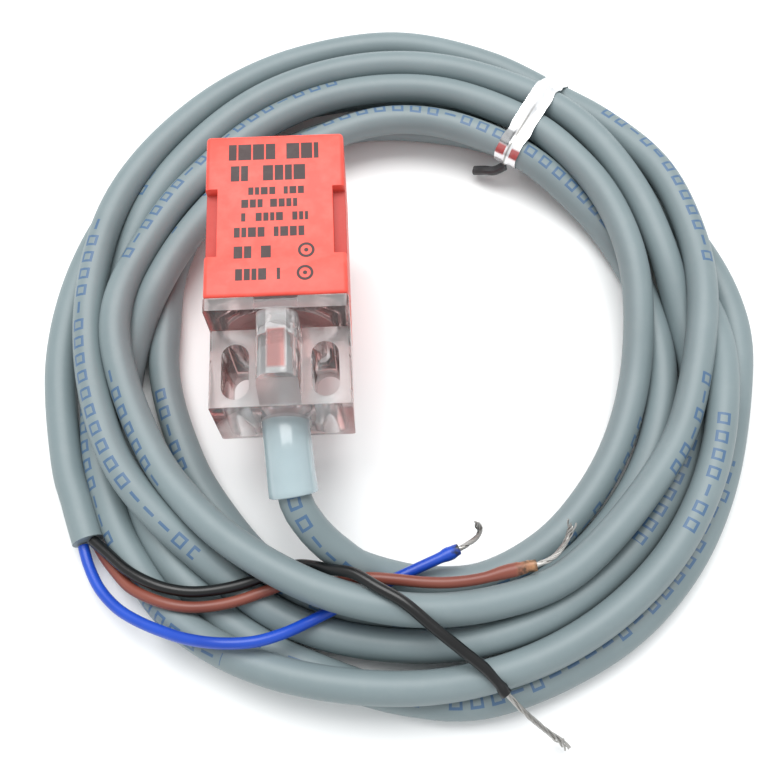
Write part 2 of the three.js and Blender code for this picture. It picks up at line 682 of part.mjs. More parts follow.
// Foil tie: a flat band round the whole section of the coil.
function twistTie() {
  const inner = COIL_INNER_RADIUS - CLEARANCE;
  const outer = COIL_OUTER_RADIUS + CLEARANCE;
  const low = SURFACE_Z + TIE_THICKNESS;
  const high = COIL_TOP_Z + CLEARANCE;
  const half = TIE_WIDTH / 2;
  const wall = TIE_THICKNESS;
  const outside = box([inner - wall, -half, low - wall], [outer + wall, half, high + wall]);
  const inside = box([inner, -half - OVERCUT, low], [outer, half + OVERCUT, high]);
  return atTie(geometryOf(solid(outside).subtract(solid(inside))));
}

function twistTieTail() {
  const halfWidth = TIE_TAIL_WIDTH / 2;
  const halfThickness = TIE_TAIL_THICKNESS / 2;
  const section = polygon([
    [-halfThickness, -halfWidth], [halfThickness, -halfWidth],
    [halfThickness, halfWidth], [-halfThickness, halfWidth],
  ]);
  return runAlong(section, TIE_TAIL_ROUTE, TIE_TAIL_PITCH);
}

// The bare strands carry on from the insulation's end, a clearance further on.
function bareStrands({ route, bare }) {
  const end = new THREE.Vector3(...route.at(-1));
  const towards = smoothCurve(route).getTangent(1);
  const start = end.addScaledVector(towards, CLEARANCE);
  return runAlong(
    regularPolygon(STRAND_RADIUS, CORE_WIRE_SIDES), [start.toArray(), ...bare], 2 * CORE_WIRE_RADIUS,
  );
}

// ---------------------------------------------------------------- assembly
add("red_cover", redCover(), 0xfa6e5f, 0.5);
add("clear_housing", clearHousing(), 0xe8edee, 0.12);
add("ferrite_core", ferriteCore(), 0x2b2b2d, 0.7);
add("coil_bobbin", coilBobbin(), 0xe9e4d4, 0.5);
add("coil_winding", coilWinding(), 0xb4602c, 0.35, 0.8);
add("circuit_board", circuitBoard(), 0x1f6b3a, 0.5);
for (const [name, x, fromFront, width, length, height, color] of BOARD_PIECES) {
  add(name, onBoard(x, fromFront, width, length, height), color, 0.5);
}
add("indicator_led", indicatorLed(), 0xd23228, 0.2);
add("potting_resin", pottingResin(), 0x9a9c98, 0.6);
add("strain_relief_sleeve", strainReliefSleeve(), 0xafbcc0, 0.35);
add("jacket_in_sleeve", jacketInSleeve(), 0x919ba0, 0.5);
for (const [name, lane, packingAngle, color] of INNER_CORES) {
  add(name, innerCore(lane, packingAngle), color, 0.45);
  add(name.replace("inner_core", "solder_pad"), solderPad(lane), 0xc4c8cc, 0.3, 1);
}
add("cable_lead_in", cord(LEAD_IN_ROUTE, CABLE_RADIUS, CABLE_SIDES), 0x919ba0, 0.5);
add("cable_coil", cableCoil(), 0x919ba0, 0.5);
add("cable_tail", cord(TAIL_ROUTE, CABLE_RADIUS, CABLE_SIDES), 0x919ba0, 0.5);
for (const [name, core] of Object.entries(CORES)) {
  add(`lead_${name}`, cord(core.route, CORE_WIRE_RADIUS, CORE_WIRE_SIDES), core.color, 0.45);
  add(`strands_${name}`, bareStrands(core), 0xb9bbb8, 0.35, 1);
}
add("twist_tie", twistTie(), 0xdcdfe2, 0.2, 1);
add("twist_tie_tail", twistTieTail(), 0x33363a, 0.5);

export default sensor;
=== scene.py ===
"""Rectangular inductive proximity sensor with a tied coil of three-core cable."""

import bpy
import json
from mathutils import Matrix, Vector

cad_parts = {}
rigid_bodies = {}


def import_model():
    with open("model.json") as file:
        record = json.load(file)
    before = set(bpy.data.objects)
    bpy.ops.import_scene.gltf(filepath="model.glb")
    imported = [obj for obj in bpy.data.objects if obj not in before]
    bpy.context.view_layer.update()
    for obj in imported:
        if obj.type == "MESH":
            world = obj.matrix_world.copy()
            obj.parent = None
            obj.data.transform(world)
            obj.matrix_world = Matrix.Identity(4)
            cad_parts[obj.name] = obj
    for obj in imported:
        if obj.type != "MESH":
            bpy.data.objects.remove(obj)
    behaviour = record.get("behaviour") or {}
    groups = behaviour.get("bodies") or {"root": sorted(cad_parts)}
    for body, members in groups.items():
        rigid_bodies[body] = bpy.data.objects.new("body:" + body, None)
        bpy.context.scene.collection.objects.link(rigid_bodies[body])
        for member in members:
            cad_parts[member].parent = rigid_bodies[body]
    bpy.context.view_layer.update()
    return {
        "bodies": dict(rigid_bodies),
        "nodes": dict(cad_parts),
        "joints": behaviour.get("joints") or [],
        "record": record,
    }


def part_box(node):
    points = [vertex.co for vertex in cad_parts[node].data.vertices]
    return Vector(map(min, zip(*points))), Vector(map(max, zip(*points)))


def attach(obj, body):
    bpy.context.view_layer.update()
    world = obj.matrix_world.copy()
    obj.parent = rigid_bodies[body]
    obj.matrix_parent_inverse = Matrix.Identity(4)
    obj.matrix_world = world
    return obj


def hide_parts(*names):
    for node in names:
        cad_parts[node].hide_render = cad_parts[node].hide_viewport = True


bl_info = {
    "name": "Proximity Sensor",
    "version": (1, 0, 0),
    "blender": (4, 5, 0),
    "location": "View3D > Sidebar > Sensor",
    "description": "Builds a block-form inductive proximity sensor and its coiled cable",
    "category": "Object",
}

import json
import math
from functools import lru_cache

import bpy
import numpy as np
from mathutils import Matrix, Vector, noise
from mathutils.kdtree import KDTree

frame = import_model()

MM = 0.001

# ------------------------------------------------------------ places, in metres
LEAD_IN_ROUTE = (
    (0.0007, -0.04445, -0.006), (0.0009, -0.0456, -0.00635), (0.0015, -0.0469, -0.00695),
    (0.0025, -0.0484, -0.0078), (0.0038, -0.0499, -0.0089), (0.0053, -0.0512, -0.01),
    (0.0067, -0.0522, -0.01085),
)
TAIL_ROUTE = (
    (-0.031, -0.0389, -0.0156), (-0.0303, -0.0415, -0.0156), (-0.0293, -0.0445, -0.0156),
    (-0.0282, -0.0477, -0.0156),
)
BLUE_CORE_ROUTE = (
    (-0.02896, -0.0483, -0.0159), (-0.028, -0.051, -0.0157), (-0.0261, -0.0544, -0.015),
    (-0.0233, -0.0573, -0.014), (-0.0203, -0.0592, -0.013), (-0.0171, -0.0607, -0.0119),
    (-0.0134, -0.0621, -0.0103), (-0.009, -0.063, -0.0089), (-0.0046, -0.063, -0.0089),
    (-0.001, -0.062, -0.0099), (0.002, -0.0606, -0.0112), (0.0061, -0.0586, -0.01205),
    (0.0105, -0.0566, -0.0121), (0.0147, -0.0549, -0.0117), (0.0182, -0.0535, -0.0115),
    (0.0221, -0.0519, -0.0116),
)
BLUE_BARE_ROUTE = (
    (0.0234, -0.0512, -0.0117), (0.0246, -0.0504, -0.0116), (0.0251, -0.0494, -0.0113),
    (0.0244, -0.0484, -0.0108),
)
BLACK_CORE_ROUTE = (
    (-0.02738, -0.04782, -0.01485), (-0.0249, -0.05, -0.014), (-0.0223, -0.0523, -0.0131),
    (-0.0196, -0.054, -0.0124), (-0.0164, -0.0553, -0.01205), (-0.0128, -0.0559, -0.01205),
    (-0.0081, -0.0555, -0.01205), (-0.0047, -0.0546, -0.01205), (-0.0016, -0.0534, -0.01205),
    (0.0006, -0.053, -0.0118), (0.0026, -0.0534, -0.0107), (0.0049, -0.0543, -0.0089),
    (0.008, -0.0552, -0.0074), (0.011, -0.0572, -0.0065), (0.0142, -0.0593, -0.0061),
    (0.018, -0.0626, -0.0069), (0.0213, -0.0653, -0.008), (0.0242, -0.0677, -0.0089),
    (0.0267, -0.0706, -0.0101),
)
BLACK_BARE_ROUTE = (
    (0.0289, -0.0728, -0.0117), (0.0316, -0.0749, -0.0139), (0.0347, -0.0771, -0.0166),
)
BROWN_CORE_ROUTE = (
    (-0.02738, -0.04783, -0.01665), (-0.026, -0.0499, -0.0159), (-0.0241, -0.0522, -0.0149),
    (-0.0219, -0.0545, -0.0138), (-0.0193, -0.0561, -0.0127), (-0.016, -0.0574, -0.01205),
    (-0.0127, -0.0579, -0.01205), (-0.0081, -0.0575, -0.01205), (-0.0035, -0.0562, -0.01205),
    (0.0002, -0.0551, -0.01205), (0.0036, -0.0553, -0.0117), (0.0068, -0.0557, -0.0107),
    (0.01, -0.0555, -0.0097), (0.0135, -0.0559, -0.0095), (0.017, -0.0564, -0.0095),
    (0.0205, -0.0566, -0.0095), (0.0243, -0.0563, -0.0095), (0.0281, -0.0555, -0.0094),
    (0.0318, -0.0549, -0.0093),
)
BROWN_BARE_ROUTE = (
    (0.0341, -0.054, -0.0092), (0.0358, -0.0522, -0.009), (0.0372, -0.0496, -0.0086),
)
TIE_TAIL_ROUTE = (
    (0.0323, 0.0089, -0.0147), (0.0309, 0.0095, -0.0154), (0.0294, 0.0102, -0.0164),
)
CORE_ROUTES = {"blue": BLUE_CORE_ROUTE, "black": BLACK_CORE_ROUTE, "brown": BROWN_CORE_ROUTE}
BARE_ROUTES = {"blue": BLUE_BARE_ROUTE, "black": BLACK_BARE_ROUTE, "brown": BROWN_BARE_ROUTE}
# The cable between the lead-in and the coil's first full turn
LANDING_ROUTE = ((0.0096, -0.0541, -0.0124), (0.0135, -0.0554, -0.014), (0.018, -0.0561, -0.0151))
# Sleeve's centreline, from inside the housing to its mouth
SLEEVE_ROUTE = (
    (0.0, -0.0268, -0.0043), (0.0, -0.0314, -0.0043), (0.0, -0.036, -0.0043),
    (0.00033, -0.04, -0.0047), (0.00065, -0.044, -0.0059), (0.00075, -0.0448, -0.0062),
)

CABLE_RADIUS = 0.0022
CORE_RADIUS = 0.00075
SURFACE_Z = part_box("cable_coil")[0].z
COIL_CENTRE = Vector((0.0154, -0.0186, 0.0))
LAYER_RISE = 3.8 * MM  # how much higher a strand lies on the two strands below it

# Each turn of the coil: (angle round the coil in degrees, radius in millimetres, layer of strands)
TURNS = (
    ((285, 38.7, 0.0), (300, 38.2, 0.0), (315, 36.9, 0.0), (330, 36.1, 0.05), (347, 35.9, 0.2),
     (362, 36.4, 0.6), (375, 37.1, 0.95), (390, 38.3, 1.0), (405, 39.6, 1.0), (416.5, 40.7, 1.0),
     (435, 41.7, 1.0), (450, 41.7, 1.0), (465, 41.2, 1.0), (480, 40.2, 1.0), (495, 38.9, 1.0),
     (510, 38.4, 1.0), (542, 38.8, 1.0), (570, 38.9, 1.1), (585, 39.0, 1.3), (600, 39.0, 1.6)),
    ((615, 39.6, 1.75), (630, 41.0, 1.7), (645, 42.0, 1.35), (660, 42.7, 1.1), (690, 42.6, 1.0),
     (705, 43.2, 1.0), (720, 44.3, 1.0), (735, 46.3, 0.9), (750, 48.1, 0.8), (765, 49.0, 0.45),
     (776.5, 49.6, 0.2), (790, 51.2, 0.2), (807, 52.3, 0.35), (825, 51.2, 0.5), (840, 49.4, 0.8),
     (855, 47.7, 0.95), (870, 46.7, 1.0), (885, 45.2, 1.0), (902, 44.1, 1.0), (925, 44.4, 1.0),
     (938, 44.6, 0.5), (948, 44.8, 0.15)),
    ((967, 45.0, 0.15), (990, 45.0, 0.3), (1005, 45.4, 0.5), (1020, 45.4, 0.3), (1035, 45.4, 0.0),
     (1050, 45.2, 0.0), (1067, 44.9, 0.0), (1080, 43.5, 0.35), (1092, 42.6, 0.9), (1110, 43.5, 1.0),
     (1125, 45.1, 1.0), (1136.5, 45.7, 1.05), (1155, 46.2, 1.0), (1170, 46.1, 1.0), (1185, 45.3, 1.0),
     (1200, 44.2, 1.0), (1215, 43.1, 1.0), (1230, 42.8, 0.8), (1245, 43.0, 0.3), (1262, 43.8, 0.0),
     (1275, 46.0, 0.0), (1285, 48.3, 0.0), (1294, 50.2, 0.1)),
    ((1305, 51.2, 0.3), (1318, 50.9, 0.7), (1332, 50.8, 0.95), (1350, 50.8, 1.0), (1365, 50.7, 1.0),
     (1380, 50.2, 1.0), (1395, 49.5, 1.0), (1410, 48.3, 1.0), (1425, 46.9, 0.9), (1440, 46.3, 0.3),
     (1455, 44.5, 0.0), (1470, 42.0, 0.0), (1485, 39.8, 0.0), (1496.5, 38.4, 0.0), (1515, 37.2, 0.0),
     (1540, 37.2, 0.0), (1575, 37.5, 0.0), (1600, 37.0, 0.0), (1622, 36.3, 0.0), (1650, 35.7, 0.0),
     (1665, 36.8, 0.0)),
    ((1680, 39.0, 0.0), (1692, 40.3, 0.05), (1703, 41.0, 0.1), (1725, 42.5, 0.0), (1740, 42.0, 0.0),
     (1755, 41.3, 0.0), (1770, 40.8, 0.0), (1787, 40.4, 0.0), (1800, 39.8, 0.0), (1815, 38.2, 0.0),
     (1830, 37.2, 0.2), (1845, 36.1, 0.7), (1856.5, 35.6, 0.98), (1875, 35.8, 1.0), (1890, 35.5, 1.0),
     (1905, 34.3, 0.9), (1935, 34.2, 0.8), (1950, 34.6, 0.8), (1965, 35.8, 0.7), (1978, 38.2, 0.3),
     (1990, 41.2, 0.0), (2000, 43.8, 0.0), (2010, 46.0, 0.0)),
    ((2020, 47.7, 0.0), (2040, 48.7, 0.0), (2055, 49.6, 0.0), (2068, 51.6, 0.0), (2080, 53.2, 0.0),
     (2100, 53.0, 0.0), (2115, 52.2, 0.0), (2130, 50.6, 0.0), (2147, 49.0, 0.0), (2160, 48.4, 0.0),
     (2175, 47.4, 0.0), (2190, 46.4, 0.0), (2205, 45.2, 0.0), (2216.5, 44.4, 0.0), (2235, 43.5, 0.0),
     (2250, 43.4, 0.0), (2265, 43.8, 0.0), (2280, 45.0, 0.0), (2295, 46.8, 0.0), (2310, 48.3, 0.0),
     (2325, 48.8, 0.0), (2342, 49.3, 0.0), (2361, 50.4, 0.0)),
)
LINE_STEP = 1.5 * MM
LAID_STEP = 2.2 * MM  # step of the cable's line while it settles
CORE_STEP = 0.0006  # step of the leads' lines that the cable settles against
HELD_AT_SENSOR = 0.0145  # length that the sleeve and the lead-in hold still
HELD_AT_CUT = 0.007
SETTLE_STEPS = 300
SETTLE_REACH = 3.0  # diameters along the cable within which it isn't pushed off itself
SETTLE_NEAR = 1.3  # diameters within which two places on the cable count as near
SETTLE_REGROUP = 8  # steps after which the near places are looked up again
SETTLE_PUSH = 0.4  # share of an overlap that each strand gives way by in a step
SETTLE_CORE_PUSH = 0.9  # share of an overlap that the cable gives way to a lead by
SETTLE_SHARING = 0.3  # how much of a shift its neighbours take over
SETTLE_KEPT = 0.995  # share of a shift that is left after each step

TIE_ANGLE = math.radians(56.5)
TIE_GAP = 0.00012
TIE_WIDTH = 0.0036
TIE_LOWEST = SURFACE_Z - 0.15 * MM  # the foil is pressed flat where the coil lies on it
TIE_STEP = 0.35 * MM
TIE_THICKNESS = 0.00012
TIE_FOOT = (0.0339, 0.009, -0.0136)  # where the tail leaves the tie

CORE_SIDES = 16
STRAND_RADIUS = 0.13 * MM
STRAND_STEP = 0.3 * MM
# How far from its end each lead's insulation is deformed, in millimetres, and how much it swells
BURNT_ENDS = {"blue": (2.6, 0.28), "black": (4.5, -0.12), "brown": (6.5, 0.22)}

SLEEVE_SIDES = 40
SLEEVE_RADIUS = 3.15 * MM
SLEEVE_FLARE = 0.12 * MM
SLEEVE_BORE = 2.51 * MM
MOUTH_MIDDLE = 2.895 * MM  # middle of the wall at the sleeve's mouth
MOUTH_HALF = 0.37 * MM
MOUTH_ROUNDING = 0.25 * MM

ALONG_SCALE = 10  # map units for each metre along a swept piece

# ------------------------------------------------------------ the sensor's block, in millimetres
# The sensing face is at y = 0 and the block runs back along -y
BODY_HALF = 9.0
BODY_LENGTH = 36.0
COVER_LENGTH = 23.8
COVER_WALL = 1.3
FACE_WALL = 1.2
CORNER_LEG = 2.2  # flats along the inside's long edges
NOTCH_X = 7.4
NOTCH_Z = 7.5
NOTCH_FRONT = 8.2
NOTCH_REAR = 18.0
LABEL_LOW = 8.995
LABEL_HIGH = 9.015
LIP_REAR = 25.5
NOSE_INSET = 1.6
NOSE_FRONT = 1.5
NOSE_CAVITY_INSET = 2.4
NOSE_CAVITY_FRONT = 0.5
LUG_FRONT = 25.0
LUG_TOP = 3.1
SLOT_X = 5.7
SLOT_RADIUS = 1.75
SLOT_CENTRES = (-33.25, -29.25)
SPINE_HALF = 2.6
SPINE_ROUNDING = 1.7
SPINE_DROP = 1.8
SPINE_RUN = 5.9
CHAMBER_RADIUS = 7.2
CHAMBER_Z = 1.0
BORE_RADIUS = 3.45
BORE_Z = -4.3

# ------------------------------------------------------------ the stage
CAMERA_PLACE = (0.01102, -0.07855, 0.11669)
CAMERA_RIGHT = (0.999, -0.0451, 0.0042)
CAMERA_UP = (0.0405, 0.9308, 0.3632)
KEY_PLACE = (-0.02, 0.16, 0.46)
KEY_AIM = (0.0, -0.02, 0.0)
FLOOR_SIZE = 3.0
FLOOR_GAP = 0.0003  # between the cable's lowest points and the floor


def srgb(red, green, blue, alpha=1.0):
    """A colour given as 0-255 screen values, as Blender's linear values."""
    def linear(value):
        share = value / 255
        return share / 12.92 if share <= 0.04045 else ((share + 0.055) / 1.055) ** 2.4
    return (linear(red), linear(green), linear(blue), alpha)


# ------------------------------------------------------------ mesh helpers
def deselect_all():
    for each in bpy.context.selected_objects:
        each.select_set(False)


def only(piece):
    deselect_all()
    piece.select_set(True)
    bpy.context.view_layer.objects.active = piece


def bake_place(piece):
    only(piece)
    bpy.ops.object.transform_apply(location=True, rotation=True, scale=True)


def block(name, low, high):
    """A box between two corners, given in millimetres."""
    low = Vector(low) * MM
    high = Vector(high) * MM
    deselect_all()
    bpy.ops.mesh.primitive_cube_add(size=1, location=(low + high) / 2)
    piece = bpy.context.active_object
    piece.name = name
    piece.scale = high - low
    bake_place(piece)
    return piece


def rod(name, start, end, radius, sides=64):
    """A cylinder between two points, given in millimetres."""
    start = Vector(start) * MM
    end = Vector(end) * MM
    along = end - start
    deselect_all()
    bpy.ops.mesh.primitive_cylinder_add(
        vertices=sides, radius=radius * MM, depth=along.length, location=(start + end) / 2
    )
    piece = bpy.context.active_object
    piece.name = name
    piece.rotation_euler = along.to_track_quat("Z", "Y").to_euler()
    bake_place(piece)
    return piece


def apply_modifier(piece, kind, **settings):
    only(piece)
    modifier = piece.modifiers.new(kind.lower(), kind)
    for key, value in settings.items():
        setattr(modifier, key, value)
    bpy.ops.object.modifier_apply(modifier=modifier.name)


def combine(piece, tool, operation):
    apply_modifier(piece, "BOOLEAN", object=tool, operation=operation, solver="EXACT")
    bpy.data.objects.remove(tool, do_unlink=True)


def soften(piece, width, segments=3, angle=40):
    apply_modifier(
        piece, "BEVEL", width=width * MM, segments=segments, limit_method="ANGLE",
        angle_limit=math.radians(angle), use_clamp_overlap=True,
    )


def bevel_edges(piece, width, segments, wanted):
    """Bevels the edges whose middle `wanted` picks, in edit mode."""
    only(piece)
    bpy.ops.object.mode_set(mode="EDIT")
    bpy.ops.mesh.select_all(action="DESELECT")
    bpy.ops.object.mode_set(mode="OBJECT")
    points = [vertex.co for vertex in piece.data.vertices]
    for edge in piece.data.edges:
        ends = [points[index] for index in edge.vertices]
        edge.select = wanted(*ends)
    bpy.ops.object.mode_set(mode="EDIT")
    bpy.ops.mesh.select_mode(type="EDGE")
    bpy.ops.mesh.bevel(offset=width * MM, segments=segments, affect="EDGES")
    bpy.ops.object.mode_set(mode="OBJECT")


def finish_piece(piece, material, slot, *replaced):
    piece.data.materials.clear()
    piece.data.materials.append(material)
    only(piece)
    bpy.ops.object.shade_smooth_by_angle(angle=math.radians(32))
    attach(piece, "root")
    if replaced:
        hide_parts(*replaced)
    return piece


def smooth_line(points, spacing):
    """A centripetal Catmull-Rom curve through the points, with even steps."""
    knots = [np.array(point, float) for point in points]
    knots = [2 * knots[0] - knots[1]] + knots + [2 * knots[-1] - knots[-2]]
    fine = []
    for p0, p1, p2, p3 in zip(knots, knots[1:], knots[2:], knots[3:]):
        t1 = np.linalg.norm(p1 - p0) ** 0.5
        t2 = t1 + np.linalg.norm(p2 - p1) ** 0.5
        t3 = t2 + np.linalg.norm(p3 - p2) ** 0.5
        for t in np.linspace(t1, t2, 24, endpoint=False):
            a1 = (t1 - t) / t1 * p0 + t / t1 * p1
            a2 = (t2 - t) / (t2 - t1) * p1 + (t - t1) / (t2 - t1) * p2
            a3 = (t3 - t) / (t3 - t2) * p2 + (t - t2) / (t3 - t2) * p3
            b1 = (t2 - t) / t2 * a1 + t / t2 * a2
            b2 = (t3 - t) / (t3 - t1) * a2 + (t - t1) / (t3 - t1) * a3
            fine.append((t2 - t) / (t2 - t1) * b1 + (t - t1) / (t2 - t1) * b2)
    fine.append(knots[-2])
    return even_steps(np.array(fine), spacing)


def run_along(line):
    """How far along the line each of its points is."""
    return np.concatenate([[0], np.cumsum(np.linalg.norm(np.diff(line, axis=0), axis=1))])


def even_steps(line, spacing):
    run = run_along(line)
    steps = max(2, round(run[-1] / spacing))
    places = np.linspace(0, run[-1], steps + 1)
    return np.column_stack([np.interp(places, run, line[:, axis]) for axis in range(3)])


def line_length(line):
    return float(np.linalg.norm(np.diff(line, axis=0), axis=1).sum())


def along_frames(line):
    """A side and an up direction at each point of a line, turning as little as they can."""
    steps = np.gradient(line, axis=0)
    steps /= np.linalg.norm(steps, axis=1)[:, None]
    up = Vector((0, 0, 1)) - Vector(steps[0]) * steps[0][2]
    frames = []
    for step in steps:
        along = Vector(step)
        up = (up - along * up.dot(along)).normalized()
        frames.append((up.cross(along).normalized(), up.copy()))
    return frames


def outwards(frame, angle):
    """The direction at an angle round a line, from the line's frame at that point."""
    side, up = frame
    return math.cos(angle) * side + math.sin(angle) * up


def mesh_piece(name, vertices, faces):
    mesh = bpy.data.meshes.new(name)
    mesh.from_pydata(vertices, [], faces)
    piece = bpy.data.objects.new(name, mesh)
    bpy.context.scene.collection.objects.link(piece)
    return piece


def tube(name, line, radius, sides):
    """A closed tube along a line. `radius` is a number or a function of (share, angle)."""
    size = radius if callable(radius) else lambda share, angle: radius
    frames = along_frames(line)
    last = len(line) - 1
    vertices = []
    for index, point in enumerate(line):
        for corner in range(sides):
            angle = 2 * math.pi * corner / sides
            vertices.append(Vector(point) + size(index / last, angle) * outwards(frames[index], angle))
    faces = []
    for ring in range(last):
        for corner in range(sides):
            following = (corner + 1) % sides
            faces.append((
                ring * sides + corner, ring * sides + following,
                (ring + 1) * sides + following, (ring + 1) * sides + corner,
            ))
    faces.append(tuple(range(sides - 1, -1, -1)))
    faces.append(tuple(last * sides + corner for corner in range(sides)))
    piece = mesh_piece(name, vertices, faces)
    mesh = piece.data
    run = run_along(line)
    layer = mesh.uv_layers.new(name="Along")
    for face in mesh.polygons:
        corners = [mesh.loops[loop].vertex_index % sides for loop in face.loop_indices]
        wraps = max(corners) - min(corners) > sides / 2
        for loop, corner in zip(face.loop_indices, corners):
            ring = mesh.loops[loop].vertex_index // sides
            turn = corner + sides if wraps and corner == 0 else corner
            layer.data[loop].uv = (run[ring] * ALONG_SCALE, turn / sides)
    return face_outwards(piece)


def face_outwards(piece):
    only(piece)
    bpy.ops.object.mode_set(mode="EDIT")
    bpy.ops.mesh.select_all(action="SELECT")
    bpy.ops.mesh.normals_make_consistent(inside=False)
    bpy.ops.object.mode_set(mode="OBJECT")
    return piece


# ------------------------------------------------------------ the cable's line
def wound_stations():
    """The stations of the turns as points in the frame."""
    for angle, radius, layer in (station for turn in TURNS for station in turn):
        way = math.radians(angle)
        flat = Vector((math.cos(way), math.sin(way), 0.0)) * radius * MM
        yield COIL_CENTRE + flat + Vector((0, 0, SURFACE_Z + CABLE_RADIUS + layer * LAYER_RISE))


def settle(line, held, cores):
    """Lets the cable lie: strands push each other a diameter apart and nothing sinks in the surface."""
    rest = line.copy()
    gap = 2 * CABLE_RADIUS
    core_gap = CABLE_RADIUS + CORE_RADIUS
    apart = SETTLE_REACH * gap / np.linalg.norm(line[1] - line[0])
    core_tree = KDTree(len(cores))
    for index, core in enumerate(cores):
        core_tree.insert(core, index)
    core_tree.balance()
    for step in range(SETTLE_STEPS):
        if step % SETTLE_REGROUP == 0:
            tree = KDTree(len(line))
            for index, point in enumerate(line):
                tree.insert(point, index)
            tree.balance()
            pairs = np.array([
                (index, other)
                for index, point in enumerate(line)
                for _, other, _ in tree.find_range(point, gap * SETTLE_NEAR)
                if other - index > apart
            ])
        way = line[pairs[:, 0]] - line[pairs[:, 1]]
        far = np.linalg.norm(way, axis=1)
        short = np.clip(gap - far, 0, None)
        push = way / np.maximum(far, 1e-6)[:, None] * short[:, None] * SETTLE_PUSH
        move = np.zeros_like(line)
        np.add.at(move, pairs[:, 0], push)
        np.add.at(move, pairs[:, 1], -push)
        for index, point in enumerate(line):
            near, _, far_core = core_tree.find(point)
            if far_core < core_gap:
                aside = (point - np.array(near)) / max(far_core, 1e-6)
                move[index] += aside * (core_gap - far_core) * SETTLE_CORE_PUSH
        line = line + move
        shift = line - rest
        shift[1:-1] += SETTLE_SHARING * (shift[:-2] - 2 * shift[1:-1] + shift[2:])
        line = rest + shift * SETTLE_KEPT
        line[:, 2] = np.maximum(line[:, 2], SURFACE_Z + CABLE_RADIUS)
        line[held] = rest[held]
    return line


@lru_cache(maxsize=None)
def cable_line():
    """The cable's centreline, from the sleeve to the cut jacket."""
    coil = [tuple(point) for point in wound_stations()]
    joined = smooth_line([*LEAD_IN_ROUTE, *LANDING_ROUTE, *coil, *TAIL_ROUTE[1:]], LAID_STEP)
    run = run_along(joined)
    held = (run < HELD_AT_SENSOR) | (run > run[-1] - HELD_AT_CUT)
    cores = np.vstack([smooth_line(route, CORE_STEP) for route in CORE_ROUTES.values()])
    return smooth_line(settle(joined, held, cores), LINE_STEP)


# ------------------------------------------------------------ node helpers
def put(tree, socket, value):
    if isinstance(value, bpy.types.NodeSocket):
        tree.links.new(value, socket)
    else:
        socket.default_value = value


def node(tree, kind, settings=None, **inputs):
    """Adds a node. Inputs are named with _ for a space, and take a value or another node's output."""
    made = tree.nodes.new("ShaderNode" + kind)
    for key, value in (settings or {}).items():
        setattr(made, key, value)
    for key, value in inputs.items():
        put(tree, made.inputs[key.replace("_", " ")], value)
    return made


def calc(tree, operation, first, second=0.0, third=0.0):
    made = tree.nodes.new("ShaderNodeMath")
    made.operation = operation
    for socket, value in zip(made.inputs, (first, second, third)):
        put(tree, socket, value)
    return made.outputs[0]


def blend(tree, share, first, second, mode="MIX"):
    made = tree.nodes.new("ShaderNodeMix")
    made.data_type = "RGBA"
    made.blend_type = mode
    put(tree, made.inputs[0], share)
    put(tree, made.inputs[6], first)
    put(tree, made.inputs[7], second)
    return made.outputs[2]


def spread(tree, value, low, high, to_low=0.0, to_high=1.0):
    made = node(tree, "MapRange", {"clamp": True}, Value=value)
    for key, number in (("From Min", low), ("From Max", high), ("To Min", to_low), ("To Max", to_high)):
        made.inputs[key].default_value = number
    return made.outputs[0]


def both(tree, *masks):
    """Masks multiplied together."""
    product = masks[0]
    for mask in masks[1:]:
        product = calc(tree, "MULTIPLY", product, mask)
    return product


def distance(tree, value, middle):
    return calc(tree, "ABSOLUTE", calc(tree, "SUBTRACT", value, middle))


def object_place(tree):
    return node(tree, "TexCoord").outputs["Object"]


def object_axes(tree):
    """The x, y and z of the place on the piece."""
    return node(tree, "SeparateXYZ", Vector=object_place(tree)).outputs


def facing_up(tree):
    return node(tree, "SeparateXYZ", Vector=node(tree, "NewGeometry").outputs["Normal"]).outputs[2]


def new_group(name, inputs, outputs):
    tree = bpy.data.node_groups.new(name, "ShaderNodeTree")
    for key, value in inputs.items():
        made = tree.interface.new_socket(key, in_out="INPUT", socket_type="NodeSocketFloat")
        made.default_value = value
    for key in outputs:
        tree.interface.new_socket(key, in_out="OUTPUT", socket_type="NodeSocketFloat")
    return tree, tree.nodes.new("NodeGroupInput"), tree.nodes.new("NodeGroupOutput")


@lru_cache(maxsize=None)
def grain_group():
    """Moulded or worn surface: broad mottling and fine height."""
    tree, given, result = new_group(
        "Surface Grain", {"Scale": 900.0, "Mottle Scale": 120.0}, ("Mottle", "Height")
    )
    place = object_place(tree)
    broad = node(tree, "TexNoise", Vector=place, Scale=given.outputs["Mottle Scale"], Detail=4.0)
    fine = node(tree, "TexNoise", Vector=place, Scale=given.outputs["Scale"], Detail=5.0, Roughness=0.6)
    put(tree, result.inputs["Mottle"], spread(tree, broad.outputs[0], 0.3, 0.7))
    put(tree, result.inputs["Height"], fine.outputs[0])
    return tree


@lru_cache(maxsize=None)
def dust_group():
    """Dust that lies on what faces up, in patches."""
    tree, given, result = new_group("Settled Dust", {"Amount": 0.2}, ("Mask",))
    patch = node(tree, "TexNoise", Vector=object_place(tree), Scale=350.0, Detail=8.0, Roughness=0.7)
    level = spread(tree, facing_up(tree), 0.2, 1.0)
    patchy = spread(tree, patch.outputs[0], 0.5, 0.75)
    put(tree, result.inputs["Mask"], both(tree, level, patchy, given.outputs["Amount"]))
    return tree


